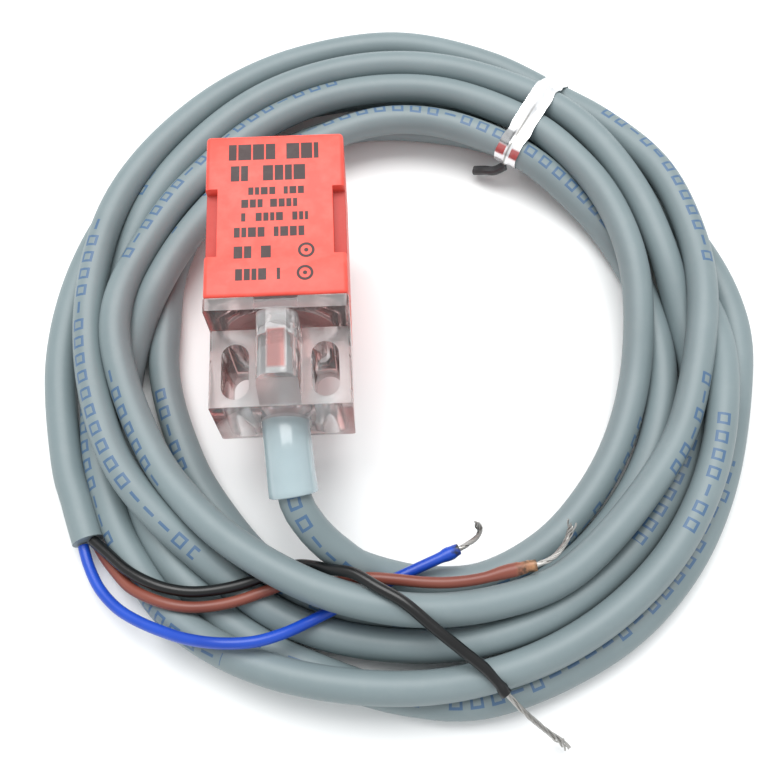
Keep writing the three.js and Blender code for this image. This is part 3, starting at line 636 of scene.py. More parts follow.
@lru_cache(maxsize=None)
def wear_group():
    """Rubbed edges: bright where the surface turns sharply outwards, broken up by noise."""
    tree, given, result = new_group("Edge Wear", {"Amount": 0.4}, ("Mask",))
    sharp = node(tree, "NewGeometry").outputs["Pointiness"]
    patch = node(tree, "TexNoise", Vector=object_place(tree), Scale=600.0, Detail=3.0)
    edge = spread(tree, sharp, 0.505, 0.56)
    broken = spread(tree, patch.outputs[0], 0.4, 0.7)
    put(tree, result.inputs["Mask"], both(tree, edge, broken, given.outputs["Amount"]))
    return tree


def use_group(tree, made, **inputs):
    placed = tree.nodes.new("ShaderNodeGroup")
    placed.node_tree = made
    for key, value in inputs.items():
        put(tree, placed.inputs[key.replace("_", " ")], value)
    return placed.outputs


def surface(name, low, high, rough=(0.4, 0.5), grain=900.0, mottle=120.0, bump=0.15, depth=0.00005,
            dust=0.1, wear=0.2, paint=None, **extra):
    """A procedural finish between two colours. `paint(tree, colour)` may draw more on the colour."""
    made = bpy.data.materials.new(name)
    made.use_nodes = True
    tree = made.node_tree
    shader = tree.nodes["Principled BSDF"]
    marks = use_group(tree, grain_group(), Scale=grain, Mottle_Scale=mottle)
    colour = blend(tree, marks["Mottle"], srgb(*low), srgb(*high))
    worn = use_group(tree, wear_group(), Amount=wear)["Mask"]
    colour = blend(tree, worn, colour, srgb(*(min(255, part + 35) for part in high)))
    if paint:
        colour = paint(tree, colour)
    lying = use_group(tree, dust_group(), Amount=dust)["Mask"]
    colour = blend(tree, lying, colour, srgb(222, 218, 212))
    put(tree, shader.inputs["Base Color"], colour)
    put(tree, shader.inputs["Roughness"], spread(tree, marks["Mottle"], 0.0, 1.0, *rough))
    raised = node(tree, "Bump", Height=marks["Height"], Strength=bump, Distance=depth)
    put(tree, shader.inputs["Normal"], raised.outputs[0])
    for key, value in extra.items():
        put(tree, shader.inputs[key.replace("_", " ")], value)
    return made


def along_map(tree):
    """Millimetres along a swept piece, and turns round it, from its own map."""
    parts = node(tree, "SeparateXYZ", Vector=node(tree, "UVMap", {"uv_map": "Along"}).outputs[0])
    return calc(tree, "MULTIPLY", parts.outputs[0], 1000 / ALONG_SCALE), parts.outputs[1]


PRINT_CELL = 2.7  # millimetres along the cable that each mark takes
PRINT_WORD = 16.2
PRINT_REPEAT = 148.0


def step_noise(tree, value):
    """A random number that changes at each whole number of the value."""
    return node(tree, "TexWhiteNoise", {"noise_dimensions": "1D"}, W=calc(tree, "FLOOR", value)).outputs[0]


def cable_print(tree, colour):
    """Generic marking ink: outlined boxes and dashes in a row that wanders slowly round the cable."""
    along, around = along_map(tree)
    slow = calc(tree, "MULTIPLY", along, 0.006)
    drift = node(tree, "TexNoise", {"noise_dimensions": "1D"}, W=slow, Scale=1.0)
    row = spread(tree, drift.outputs[0], 0.3, 0.7, 0.12, 0.4)
    off = distance(tree, calc(tree, "FRACT", around), row)
    cell = calc(tree, "DIVIDE", along, PRINT_CELL)
    beside = distance(tree, calc(tree, "FRACT", cell), 0.5)
    # Most marks are tall boxes, and the rest are dashes
    tall = spread(tree, step_noise(tree, cell), 0.72, 0.74, 0.066, 0.016)
    box = both(tree, calc(tree, "LESS_THAN", beside, 0.32), calc(tree, "LESS_THAN", off, tall))
    inside = calc(tree, "SUBTRACT", tall, 0.03)
    hole = both(tree, calc(tree, "LESS_THAN", beside, 0.18), calc(tree, "LESS_THAN", off, inside))
    word = step_noise(tree, calc(tree, "DIVIDE", along, PRINT_WORD))
    grouped = calc(tree, "GREATER_THAN", word, 0.3)
    repeat = calc(tree, "FRACT", calc(tree, "DIVIDE", along, PRINT_REPEAT))
    stretch = calc(tree, "LESS_THAN", repeat, 0.55)
    mask = both(tree, calc(tree, "SUBTRACT", box, hole), grouped, stretch)
    return blend(tree, both(tree, mask, 0.72), colour, srgb(34, 84, 130))


def burnt_end(start, full, tint):
    """A wire's insulation, scorched from `start` to `full` millimetres along it."""
    def paint(tree, colour):
        along, _ = along_map(tree)
        patch = node(tree, "TexNoise", Vector=object_place(tree), Scale=900.0, Detail=4.0).outputs[0]
        reach = calc(tree, "ADD", along, spread(tree, patch, 0.3, 0.7, -1.2, 1.2))
        deep = srgb(*(part * 0.45 for part in tint))
        mottled = blend(tree, spread(tree, patch, 0.4, 0.6), srgb(*tint), deep)
        return blend(tree, spread(tree, reach, start, full), colour, mottled)
    return paint


def foil_painted_light_and_patches(tree, colour):
    """Painted shade in the tie's creases and along its middle fold, a painted dark reflection on one
    stretch, and the two coloured patches near its inner end.
    """
    along, across = along_map(tree)
    # Painted shade: darker grey in the foil's creases, from a crinkle noise
    crease_painted_shade = node(
        tree, "TexNoise", Vector=object_place(tree), Scale=420.0, Detail=4.0, Distortion=0.6
    ).outputs[0]
    colour = blend(tree, spread(tree, crease_painted_shade, 0.56, 0.8), colour, srgb(176, 178, 180))
    aside = distance(tree, across, 0.5)
    # Painted reflection: a near-black stretch on one half of the tie's width, for dark surroundings mirrored
    # in the foil
    dark = both(
        tree, spread(tree, along, 8.8, 9.2), spread(tree, along, 12.8, 11.4), spread(tree, across, 0.52, 0.6)
    )
    colour = blend(tree, both(tree, dark, 0.9), colour, srgb(44, 46, 48))
    # Painted shade: a darker line along the tie's middle fold, over its first 15 to 18 mm
    fold_painted_shade = both(tree, spread(tree, aside, 0.05, 0.02), spread(tree, along, 18.0, 15.0))
    colour = blend(tree, both(tree, fold_painted_shade, 0.7), colour, srgb(120, 118, 108))
    outer = calc(tree, "GREATER_THAN", aside, 0.12)
    patch = both(tree, spread(tree, along, 7.3, 7.6), spread(tree, along, 9.1, 8.8), outer)
    return blend(tree, both(tree, patch, 0.85), colour, srgb(178, 44, 42))


def notch_floors_painted_shade(tree, colour):
    """Painted shade: the floors of the cover's notches are painted a darker red for the shade in these
    recesses.
    """
    x, y, z = object_axes(tree)
    aside = spread(tree, calc(tree, "ABSOLUTE", x), 0.00738, 0.00745)
    below = spread(tree, z, 0.0084, 0.0078)
    behind = both(tree, spread(tree, y, -0.00815, -0.00825), spread(tree, y, -0.01805, -0.01795))
    above = spread(tree, z, 0.0073, 0.0074)
    mask = both(tree, aside, below, behind, above)
    return blend(tree, both(tree, mask, 0.75), colour, srgb(160, 34, 24))


def wound_wire(tree, colour):
    wires = node(
        tree, "TexWave", {"bands_direction": "Y"}, Vector=object_place(tree), Scale=1600.0, Distortion=0.6
    )
    return blend(tree, wires.outputs[1], srgb(120, 58, 26), colour)


def board_tracks(tree, colour):
    tracks = node(tree, "TexBrick", Vector=object_place(tree), Scale=260.0, Mortar_Size=0.012)
    return blend(tree, both(tree, tracks.outputs[1], 0.6), colour, srgb(150, 170, 90))


def clear_plastic():
    """Smoky clear moulding, matt on the faces that point up, with painted red refraction where red parts
    show through it.
    """
    made = bpy.data.materials.new("Clear Plastic")
    made.use_nodes = True
    tree = made.node_tree
    shader = tree.nodes["Principled BSDF"]
    marks = use_group(tree, grain_group(), Scale=2600.0, Mottle_Scale=160.0)
    facing = facing_up(tree)
    x, y, z = object_axes(tree)
    aside = calc(tree, "ABSOLUTE", x)
    beside_spine = spread(tree, aside, 0.0026, 0.0029)
    matt = both(tree, spread(tree, facing, 0.9, 0.99), beside_spine)
    colour = blend(tree, marks["Mottle"], srgb(236, 232, 231), srgb(248, 248, 248))

    # Painted refraction: the lip behind the cover is painted a rosy tint for the red cover seen through it,
    # and greyer in its middle
    lip = spread(tree, y, -0.0260, -0.0252)
    colour = blend(tree, lip, colour, srgb(214, 166, 162))
    lip_grey_middle = both(tree, lip, spread(tree, aside, 0.0046, 0.0018), 0.7)
    colour = blend(tree, lip_grey_middle, colour, srgb(148, 146, 148))
    # Painted refraction: the lower long corners are painted red for the red cover seen through the clear
    # plastic
    corner = both(tree, spread(tree, aside, 0.0066, 0.0084), spread(tree, z, 0.0022, 0.001))
    colour = blend(tree, corner, colour, srgb(222, 136, 130))

    # Painted refraction: a red window painted on the spine's top, for the red parts inside seen through it
    painted_red_window = both(
        tree, spread(tree, aside, 0.0013, 0.0009), spread(tree, z, 0.0072, 0.008),
        spread(tree, y, -0.0334, -0.033), spread(tree, y, -0.0279, -0.0283),
    )
    colour = blend(tree, painted_red_window, colour, srgb(244, 112, 100))

    slope = both(tree, spread(tree, y, -0.0341, -0.0344), spread(tree, facing, 0.1, 0.3), 0.85)
    matt = calc(tree, "MAXIMUM", matt, slope)
    colour = blend(tree, both(tree, matt, 0.8), colour, srgb(252, 251, 250))
    put(tree, shader.inputs["Base Color"], colour)
    polish = spread(tree, marks["Mottle"], 0.0, 1.0, 0.04, 0.1)
    put(tree, shader.inputs["Roughness"], calc(tree, "ADD", polish, both(tree, matt, 0.42)))
    height = both(tree, marks["Height"], calc(tree, "ADD", matt, 0.08))
    raised = node(tree, "Bump", Height=height, Strength=0.25, Distance=0.00008)
    put(tree, shader.inputs["Normal"], raised.outputs[0])
    shader.inputs["Transmission Weight"].default_value = 0.86
    shader.inputs["IOR"].default_value = 1.49
    return made


# The finish of each slot: the two colours that it mottles between, and what sets it apart
MATERIALS = {
    "cover_red": lambda: surface(
        "Red Plastic", (218, 70, 56), (228, 79, 65), rough=(0.42, 0.5), grain=3200.0, mottle=90.0,
        bump=0.3, depth=0.00004, dust=0.02, wear=0.3, paint=notch_floors_painted_shade,
    ),
    "ink": lambda: surface(
        "Dark Ink", (46, 30, 30), (60, 38, 37), rough=(0.5, 0.6), grain=2500.0, dust=0.03, wear=0.0,
    ),
    "clear_body": clear_plastic,
    "sleeve": lambda: surface(
        "Milky Sleeve", (158, 176, 181), (172, 188, 192), rough=(0.14, 0.22), grain=500.0, mottle=90.0,
        bump=0.05, dust=0.0, wear=0.1, Subsurface_Weight=0.35, Subsurface_Scale=0.0015,
        Subsurface_Radius=(1.0, 1.0, 1.1), Coat_Weight=0.5,
    ),
    "jacket_grey": lambda: surface(
        "Grey Jacket", (116, 130, 133), (125, 139, 142), rough=(0.42, 0.5), grain=1800.0, mottle=60.0,
        bump=0.1, depth=0.00003, dust=0.03, wear=0.0, paint=cable_print,
    ),
    "core_blue": lambda: surface(
        "Blue Insulation", (16, 62, 168), (24, 76, 188), rough=(0.3, 0.38), dust=0.0, wear=0.0,
        paint=burnt_end(60.5, 62.0, (74, 78, 62)),
    ),
    "core_black": lambda: surface(
        "Black Insulation", (6, 7, 7), (13, 14, 15), rough=(0.24, 0.38), dust=0.0, wear=0.0,
        paint=burnt_end(69.5, 72.5, (50, 40, 34)),
    ),
    "core_brown": lambda: surface(
        "Brown Insulation", (118, 60, 48), (132, 72, 58), rough=(0.34, 0.42), dust=0.0, wear=0.0,
        paint=burnt_end(61.5, 64.0, (176, 130, 92)),
    ),
    "tinned_copper": lambda: surface(
        "Tinned Copper", (150, 148, 145), (186, 184, 180), rough=(0.25, 0.45), grain=1500.0, Metallic=0.9,
    ),
    "tie_foil": lambda: surface(
        "Silver Foil", (236, 238, 240), (250, 250, 250), rough=(0.2, 0.32), grain=1400.0, mottle=300.0,
        bump=0.2, depth=0.0001, dust=0.0, wear=0.0, paint=foil_painted_light_and_patches, Metallic=0.55,
    ),
    "tie_core": lambda: surface(
        "Tie Core", (30, 30, 32), (58, 58, 60), rough=(0.35, 0.5), grain=1200.0, mottle=500.0,
    ),
    "core_ferrite": lambda: surface("Ferrite", (52, 50, 50), (70, 68, 66), rough=(0.6, 0.7), grain=2400.0),
    "bobbin": lambda: surface("Bobbin", (214, 206, 186), (226, 220, 204), rough=(0.45, 0.55)),
    "winding_copper": lambda: surface(
        "Winding", (190, 104, 52), (208, 122, 66), rough=(0.28, 0.36), paint=wound_wire, Metallic=0.7,
    ),
    "board": lambda: surface(
        "Circuit Board", (26, 92, 58), (34, 108, 68), rough=(0.35, 0.45), paint=board_tracks,
    ),
    "chip_black": lambda: surface("Chip Body", (34, 34, 36), (46, 46, 48), rough=(0.5, 0.6), grain=2600.0),
    "chip_ceramic": lambda: surface(
        "Ceramic", (176, 152, 118), (190, 168, 136), rough=(0.45, 0.55), grain=2000.0,
    ),
    "lamp_red": lambda: surface(
        "Red Lens", (214, 52, 44), (230, 70, 60), rough=(0.12, 0.2), Transmission_Weight=0.3,
    ),
    "potting": lambda: surface(
        "Potting", (216, 96, 84), (230, 112, 98), rough=(0.5, 0.6), grain=700.0, mottle=200.0, bump=0.3,
    ),
    "solder": lambda: surface(
        "Solder", (168, 168, 170), (196, 196, 198), rough=(0.22, 0.36), grain=1200.0, Metallic=0.9,
    ),
}


@lru_cache(maxsize=None)
def material(slot):
    return MATERIALS[slot]()


# ------------------------------------------------------------ settings
class SensorSettings(bpy.types.PropertyGroup):
    edge_radius: bpy.props.FloatProperty(
        name="Cover edge radius", description="Radius of the cover's outer edges",
        default=0.0006, min=0.0001, max=0.0012, unit="LENGTH",
    )
    strand_count: bpy.props.IntProperty(
        name="Strands", description="Fine wires in each bared end", default=7, min=3, max=12,
    )
    cable_sides: bpy.props.IntProperty(
        name="Cable sides", description="Corners round the cable's section", default=20, min=8, max=48,
    )
    lens: bpy.props.FloatProperty(
        name="Lens", description="Focal length of the camera", default=45.17, min=10.0, unit="CAMERA",
    )
    key_power: bpy.props.FloatProperty(
        name="Key light", description="Power of the overhead light", default=0.55, min=0.0, subtype="POWER",
    )


def settings():
    return bpy.context.scene.sensor_settings


# ------------------------------------------------------------ operators
class SENSOR_OT_stage(bpy.types.Operator):
    """Add the camera, the pale floor and the soft light"""
    bl_idname = "sensor.stage"
    bl_label = "Stage"

    def execute(self, context):
        right = Vector(CAMERA_RIGHT)
        back = right.cross(Vector(CAMERA_UP)).normalized()
        up = back.cross(right).normalized()
        lens = bpy.data.cameras.new("Camera")
        lens.lens = settings().lens
        lens.sensor_width = 36
        lens.clip_start = 0.005
        camera = bpy.data.objects.new("Camera", lens)
        turned = Matrix((right, up, back)).transposed().to_4x4()
        camera.matrix_world = Matrix.Translation(CAMERA_PLACE) @ turned
        context.scene.collection.objects.link(camera)
        context.scene.camera = camera

        deselect_all()
        place = (COIL_CENTRE.x, COIL_CENTRE.y, SURFACE_Z - FLOOR_GAP)
        bpy.ops.mesh.primitive_plane_add(size=FLOOR_SIZE, location=place)
        floor = context.active_object
        floor.name = "floor"
        floor.data.materials.append(surface(
            "Pale Floor", (244, 246, 245), (248, 249, 249), rough=(0.7, 0.8), grain=60.0, mottle=6.0,
            bump=0.02, dust=0.0, wear=0.0,
        ))

        key = bpy.data.lights.new("key_light", "AREA")
        key.shape = "RECTANGLE"
        key.size = 0.5
        key.size_y = 0.35
        key.energy = settings().key_power * 5
        light = bpy.data.objects.new("key_light", key)
        light.location = KEY_PLACE
        light.rotation_euler = (Vector(KEY_AIM) - light.location).to_track_quat("-Z", "Y").to_euler()
        context.scene.collection.objects.link(light)

        world = bpy.data.worlds.new("Soft White")
        world.use_nodes = True
        glow = world.node_tree.nodes["Background"]
        glow.inputs["Color"].default_value = (0.97, 0.985, 1.0, 1.0)
        glow.inputs["Strength"].default_value = 0.8
        context.scene.world = world
        context.scene.view_settings.view_transform = "Standard"
        return {"FINISHED"}


class SENSOR_OT_cable(bpy.types.Operator):
    """Lay the grey cable: its lead-in, the tied coil and the free end"""
    bl_idname = "sensor.cable"
    bl_label = "Cable"

    def execute(self, context):
        piece = tube("cable", cable_line(), CABLE_RADIUS, settings().cable_sides)
        replaced = ("cable_lead_in", "cable_coil", "cable_tail")
        finish_piece(piece, material("jacket_grey"), "jacket_grey", *replaced)
        return {"FINISHED"}


class SENSOR_OT_leads(bpy.types.Operator):
    """Lay the three insulated leads, each with its bared strands"""
    bl_idname = "sensor.leads"
    bl_label = "Leads"

    def execute(self, context):
        for seed, (colour, route) in enumerate(CORE_ROUTES.items()):
            line = smooth_line(route, 0.5 * MM)
            marked, swell = BURNT_ENDS[colour]
            full = line_length(line) / MM

            def size(share, angle, marked=marked, swell=swell, full=full, seed=seed):
                reach = max(0.0, 1 - (1 - share) * full / marked)
                round_x = math.cos(angle) * 0.7
                round_y = math.sin(angle) * 0.7
                lump = noise.noise(Vector((share * 90, round_x, round_y + seed * 9)))
                bulge = swell * math.sin(math.pi * min(1, reach * 1.15))
                return CORE_RADIUS * (1 + bulge + 0.35 * reach * lump)

            lead = tube("wire_" + colour, line, size, CORE_SIDES)
            finish_piece(lead, material("core_" + colour), "core_" + colour, "lead_" + colour)
            self.add_strands(colour, seed)
        return {"FINISHED"}

    def add_strands(self, colour, seed):
        bare = smooth_line((CORE_ROUTES[colour][-1],) + BARE_ROUTES[colour], STRAND_STEP)
        frames = along_frames(bare)
        count = settings().strand_count
        wires = []
        for number in range(count):
            line = []
            stop = len(bare) - 1 - (number * 5 + seed) % 4
            for index in range(stop + 1):
                share = index / (len(bare) - 1)
                turn = 2 * math.pi * number / count + share * 11
                fray = 0.24 + 0.42 * max(0.0, share - 0.72) / 0.28 * (0.4 + number % 3 * 0.5)
                reach = (0.02 if number == 0 else fray) * MM
                line.append(tuple(Vector(bare[index]) + reach * outwards(frames[index], turn)))
            wires.append(tube(f"strand_{number}", np.array(line), STRAND_RADIUS, 6))
        deselect_all()
        for wire in wires:
            wire.select_set(True)
        bpy.context.view_layer.objects.active = wires[0]
        bpy.ops.object.join()
        wires[0].name = "bare_strands_" + colour
        finish_piece(wires[0], material("tinned_copper"), "tinned_copper", "strands_" + colour)


class SENSOR_OT_sleeve(bpy.types.Operator):
    """Add the milky strain relief sleeve with its rounded, slightly flared mouth"""
    bl_idname = "sensor.sleeve"
    bl_label = "Sleeve"

    def execute(self, context):
        line = smooth_line(SLEEVE_ROUTE, 0.5 * MM)
        frames = along_frames(line)
        sides = SLEEVE_SIDES
        last = len(line) - 1
        # (point of the line, radius, reach past it), outside to the mouth and back inside
        profile = []
        for index in range(last + 1):
            flare = SLEEVE_FLARE * (index / last) ** 6
            profile.append((index, SLEEVE_RADIUS + flare, 0.0))
        for step in range(1, 6):
            turn = math.pi * step / 6
            radius = MOUTH_MIDDLE + MOUTH_HALF * math.cos(turn)
            profile.append((last, radius, MOUTH_ROUNDING * math.sin(turn)))
        for index in range(last, -1, -1):
            profile.append((index, SLEEVE_BORE, 0.0))
        ahead = Vector(line[-1] - line[-2]).normalized()
        vertices = []
        for index, radius, past in profile:
            middle = Vector(line[index]) + ahead * past
            for corner in range(sides):
                vertices.append(middle + radius * outwards(frames[index], 2 * math.pi * corner / sides))
        rings = len(profile)
        faces = [
            (ring * sides + corner, ring * sides + (corner + 1) % sides,
             (ring + 1) % rings * sides + (corner + 1) % sides, (ring + 1) % rings * sides + corner)
            for ring in range(rings) for corner in range(sides)
        ]
        piece = face_outwards(mesh_piece("sleeve", vertices, faces))
        finish_piece(piece, material("sleeve"), "sleeve", "strain_relief_sleeve")
        return {"FINISHED"}


def nested_block(name, inset, start, end):
    """A block inside the body's outline, with flats along its long edges."""
    half = BODY_HALF - inset
    leg = CORNER_LEG - (inset - COVER_WALL) * (2 - math.sqrt(2))
    piece = block(name, (-half, -end, -half), (half, -start, half))
    bevel_edges(piece, leg, 1, lambda a, b: abs(a.y - b.y) > 1 * MM)
    return piece


class SENSOR_OT_cover(bpy.types.Operator):
    """Add the red cover with its two notches, and the printed label on its top"""
    bl_idname = "sensor.cover"
    bl_label = "Cover"

    def execute(self, context):
        half = BODY_HALF
        cover = block("red_cover_shell", (-half, -COVER_LENGTH, -half), (half, 0, half))
        rear = -COVER_LENGTH * MM
        bevel_edges(cover, settings().edge_radius / MM, 4,
                    lambda a, b: not (abs(a.y - rear) < 1e-6 and abs(b.y - rear) < 1e-6))
        for side in (-1, 1):
            low, high = sorted((side * NOTCH_X, side * (half + 1)))
            notch = block("notch", (low, -NOTCH_REAR, NOTCH_Z), (high, -NOTCH_FRONT, half + 1))
            combine(cover, notch, "DIFFERENCE")
        combine(cover, nested_block("cavity", COVER_WALL, FACE_WALL, LUG_FRONT), "DIFFERENCE")
        soften(cover, 0.09, 2)
        finish_piece(cover, material("cover_red"), "cover_red", "red_cover")
        self.print_label(cover)
        return {"FINISHED"}

    def print_label(self, cover):
        """Rows of blank blocks, (front y, rear y, left x, right x, average block width)."""
        rows = (
            (-1.5, -3.9, -6.0, 5.7, 1.35), (-4.8, -7.1, -5.7, 5.3, 1.2), (-8.1, -9.2, -4.4, 4.2, 0.7),
            (-9.9, -11.1, -4.3, 3.0, 0.7), (-11.9, -13.1, -4.3, 4.2, 0.7), (-14.0, -15.4, -5.2, 4.8, 0.8),
            (-16.7, -18.4, -5.2, -0.3, 1.0), (-19.9, -21.5, -6.2, 0.6, 0.8),
        )
        blocks = []
        for row, (front, back, left, right, width) in enumerate(rows):
            x = left
            number = 0
            while x < right - 0.3:
                size = width * (0.75 + 0.5 * ((number * 7 + row * 5) % 4) / 3)
                if (number + row * 2) % 5 != 4:
                    end = min(x + size, right)
                    blocks.append(block("ink", (x, back, LABEL_LOW), (end, front, LABEL_HIGH)))
                x += size + 0.22
                number += 1
        marks = ((3.9, -17.5, 1.05), (3.7, -20.7, 1.05))
        for x, y, radius in marks:
            ring = rod("ink", (x, y, LABEL_LOW), (x, y, LABEL_HIGH), radius, 32)
            combine(ring, rod("hole", (x, y, 8.9), (x, y, 9.1), radius * 0.68, 32), "DIFFERENCE")
            blocks += [ring, rod("ink", (x, y, LABEL_LOW), (x, y, LABEL_HIGH), radius * 0.26, 16)]
        deselect_all()
        for each in blocks:
            each.data.materials.clear()
            each.data.materials.append(material("ink"))
            each.select_set(True)
        cover.select_set(True)
        bpy.context.view_layer.objects.active = cover
        bpy.ops.object.join()


class SENSOR_OT_housing(bpy.types.Operator):
    """Add the clear housing: nose, lip, two slotted lugs and the spine over the chamber"""
    bl_idname = "sensor.housing"
    bl_label = "Clear housing"

    def execute(self, context):
        half = BODY_HALF
        body = block("clear_body_moulding", (-half, -LIP_REAR, -half), (half, -COVER_LENGTH, half))
        combine(body, block("lugs", (-half, -BODY_LENGTH, -half), (half, -LUG_FRONT, LUG_TOP)), "UNION")
        bevel_edges(body, 0.35, 3, lambda a, b: abs(a.y - b.y) > 1 * MM and abs(a.x) > 8.9 * MM)
        spine = block("spine", (-SPINE_HALF, -BODY_LENGTH, 2), (SPINE_HALF, -LUG_FRONT, half))
        bevel_edges(spine, SPINE_ROUNDING, 6, lambda a, b: abs(a.y - b.y) > 1 * MM and a.z > 8 * MM)
        slope = block("slope", (-4, -4, 0), (4, 4, 8))
        only(slope)
        lean = math.atan2(SPINE_DROP, SPINE_RUN)
        bpy.ops.transform.rotate(value=lean, orient_axis="X", center_override=(0, 0, 0))
        slope.location = (0, (-BODY_LENGTH - 4) * MM, LUG_TOP * MM)
        bake_place(slope)
        combine(spine, slope, "DIFFERENCE")
        combine(body, spine, "UNION")
        combine(body, nested_block("nose", NOSE_INSET, NOSE_FRONT, 24.6), "UNION")
        cavity = nested_block("nose_cavity", NOSE_CAVITY_INSET, NOSE_CAVITY_FRONT, COVER_LENGTH)
        combine(body, cavity, "DIFFERENCE")
        chamber = rod("chamber", (0, -22.8, CHAMBER_Z), (0, -LUG_FRONT, CHAMBER_Z), CHAMBER_RADIUS)
        combine(body, chamber, "DIFFERENCE")
        bore = rod("bore", (0, -23.5, BORE_Z), (0, -BODY_LENGTH - 1, BORE_Z), BORE_RADIUS)
        combine(body, bore, "DIFFERENCE")
        back, front = SLOT_CENTRES
        for x in (-SLOT_X, SLOT_X):
            slot = block("slot", (x - SLOT_RADIUS, back, -10), (x + SLOT_RADIUS, front, 5))
            combine(body, slot, "DIFFERENCE")
            for y in SLOT_CENTRES:
                combine(body, rod("slot_end", (x, y, -10), (x, y, 5), SLOT_RADIUS, 48), "DIFFERENCE")
        soften(body, 0.12, 2, 50)
        finish_piece(body, material("clear_body"), "clear_body", "clear_housing")
        return {"FINISHED"}


def section_at(angle):
    """Where the cable passes the half plane at an angle round the coil, as (radius, height)."""
    line = cable_line()
    out = np.array((math.cos(angle), math.sin(angle), 0.0))
    way = np.array((-math.sin(angle), math.cos(angle), 0.0))
    rel = line - np.array(tuple(COIL_CENTRE))
    before = rel @ way
    found = []
    for index in range(len(line) - 1):
        if before[index] < 0 <= before[index + 1] and rel[index] @ out > 0.02:
            share = -before[index] / (before[index + 1] - before[index])
            point = rel[index] + share * (rel[index + 1] - rel[index])
            found.append((float(point @ out), float(point[2])))
    return found


def hull(points):
    """The convex outline of points in a plane, anticlockwise."""
    points = sorted(points)
    sides = []
    for order in (points, points[::-1]):
        chain = []
        for point in order:
            while len(chain) > 1 and (
                (chain[-1][0] - chain[-2][0]) * (point[1] - chain[-2][1])
                - (chain[-1][1] - chain[-2][1]) * (point[0] - chain[-2][0])
            ) <= 0:
                chain.pop()
            chain.append(point)
        sides += chain[:-1]
    return sides


class SENSOR_OT_tie(bpy.types.Operator):
    """Wrap the crinkled foil tie round the coil, with its bent dark tail"""
    bl_idname = "sensor.tie"
    bl_label = "Tie"

    def execute(self, context):
        crossings = section_at(TIE_ANGLE)
        if len(crossings) < 5:
            raise RuntimeError("the coil doesn't pass the tie often enough")
        reach = CABLE_RADIUS + TIE_GAP
        around = [2 * math.pi * step / 24 for step in range(24)]
        outline = hull([
            (radius + reach * math.cos(turn), height + reach * math.sin(turn))
            for radius, height in crossings for turn in around
        ])
        # Start at the inner foot, and go up over the top and back underneath
        outline = outline[::-1]
        first = min(range(len(outline)), key=lambda index: outline[index][0] + outline[index][1])
        outline = outline[first:] + outline[:first + 1]
        loop = even_steps(np.array([(radius, 0.0, height) for radius, height in outline]), TIE_STEP)
        out = Vector((math.cos(TIE_ANGLE), math.sin(TIE_ANGLE), 0.0))
        way = Vector((-math.sin(TIE_ANGLE), math.cos(TIE_ANGLE), 0.0))
        centre = sum((Vector(point) for point in loop), Vector()) / len(loop)
        across = 12
        vertices = []
        spans = []
        for index, (radius, _, height) in enumerate(loop):
            outward = (Vector((radius, 0.0, height)) - centre).normalized()
            for step in range(across + 1):
                share = step / across
                wavy = 0.00012 * noise.noise(Vector((index * 0.16, 3.0 if share > 0.5 else 9.0, 0.0)))
                offset = (share - 0.5) * (TIE_WIDTH + 4 * wavy)
                crinkle = 0.00016 * noise.noise(Vector((index * 0.2, share * 3, 1.0)))
                ridge = 0.0003 * math.exp(-((share - 0.5) / 0.1) ** 2)
                lift = abs(crinkle) + ridge
                place = out * (radius + outward.x * lift) + way * offset
                level = max(height + outward.z * lift, TIE_LOWEST)
                vertices.append(COIL_CENTRE + place + Vector((0, 0, level)))
                spans.append(share)
        row = across + 1
        faces = [
            (index * row + step, index * row + step + 1,
             (index + 1) * row + step + 1, (index + 1) * row + step)
            for index in range(len(loop) - 1) for step in range(across)
        ]
        tie = mesh_piece("foil_tie", vertices, faces)
        layer = tie.data.uv_layers.new(name="Along")
        for corner in tie.data.loops:
            index = corner.vertex_index
            layer.data[corner.index].uv = (index // row * TIE_STEP * ALONG_SCALE, spans[index])
        apply_modifier(face_outwards(tie), "SOLIDIFY", thickness=TIE_THICKNESS, offset=1.0)
        finish_piece(tie, material("tie_foil"), "tie_foil", "twist_tie")

        route = smooth_line((TIE_FOOT,) + TIE_TAIL_ROUTE, 0.3 * MM)

        def flattened(share, angle):
            return (0.55 + 0.2 * abs(math.cos(angle))) * MM

        tail = tube("tie_tail", route, flattened, 12)
        finish_piece(tail, material("tie_core"), "tie_core", "twist_tie_tail")
        return {"FINISHED"}


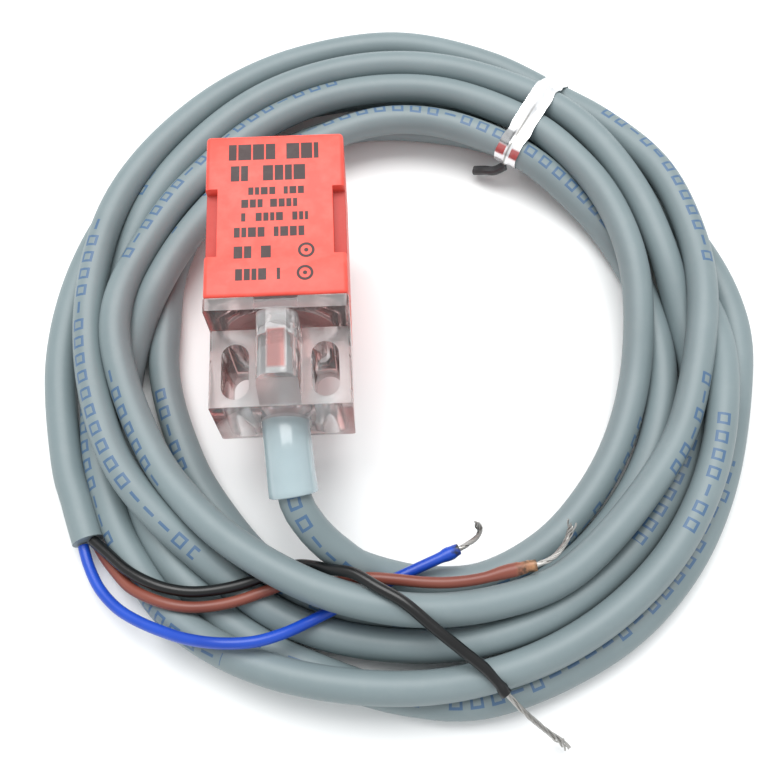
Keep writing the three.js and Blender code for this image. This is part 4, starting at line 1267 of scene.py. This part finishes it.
class SENSOR_OT_inner(bpy.types.Operator):
    """Give the pieces inside the sensor their finishes"""
    bl_idname = "sensor.inner"
    bl_label = "Inner pieces"

    def execute(self, context):
        finishes = {
            "core_ferrite": ("ferrite_core",),
            "bobbin": ("coil_bobbin",),
            "winding_copper": ("coil_winding",),
            "board": ("circuit_board",), "lamp_red": ("indicator_led",), "potting": ("potting_resin",),
            "chip_black": (
                "oscillator_ic", "output_transistor", "protection_diode", "gain_resistor", "bias_resistor",
                "led_resistor", "pull_up_resistor",
            ),
            "chip_ceramic": ("tuning_capacitor", "filter_capacitor", "bypass_capacitor"),
            "solder": ("solder_pad_blue", "solder_pad_black", "solder_pad_brown"),
            "jacket_grey": ("jacket_in_sleeve",), "core_blue": ("inner_core_blue",),
            "core_black": ("inner_core_black",), "core_brown": ("inner_core_brown",),
        }
        for slot, names in finishes.items():
            for name in names:
                piece = bpy.data.objects[name]
                piece.data.materials.clear()
                piece.data.materials.append(material(slot))
        return {"FINISHED"}


class SENSOR_OT_cords(bpy.types.Operator):
    bl_idname = "sensor.cords"
    bl_label = "Cords"

    def execute(self, context):
        line = cable_line()
        for colour, route in CORE_ROUTES.items():
            line = smooth_line(route, 1.0 * MM)
        return {"FINISHED"}


OPERATORS = (
    SENSOR_OT_stage, SENSOR_OT_cable, SENSOR_OT_leads, SENSOR_OT_sleeve, SENSOR_OT_cover, SENSOR_OT_housing,
    SENSOR_OT_tie, SENSOR_OT_inner, SENSOR_OT_cords,
)


class SENSOR_PT_panel(bpy.types.Panel):
    """The sensor's pieces and settings"""
    bl_idname = "SENSOR_PT_panel"
    bl_label = "Proximity Sensor"
    bl_space_type = "VIEW_3D"
    bl_region_type = "UI"
    bl_category = "Sensor"

    def draw(self, context):
        for name in SensorSettings.__annotations__:
            self.layout.prop(settings(), name)
        for operator in OPERATORS:
            self.layout.operator(operator.bl_idname)


def register():
    for each in (SensorSettings, *OPERATORS, SENSOR_PT_panel):
        bpy.utils.register_class(each)
    bpy.types.Scene.sensor_settings = bpy.props.PointerProperty(type=SensorSettings)


def unregister():
    del bpy.types.Scene.sensor_settings
    for each in (SENSOR_PT_panel, *reversed(OPERATORS), SensorSettings):
        bpy.utils.unregister_class(each)


def main():
    register()
    for operator in OPERATORS:
        group, name = operator.bl_idname.split(".")
        if getattr(getattr(bpy.ops, group), name)() != {"FINISHED"}:
            raise RuntimeError(operator.bl_label + " wasn't finished")


if __name__ == "__main__":
    main()
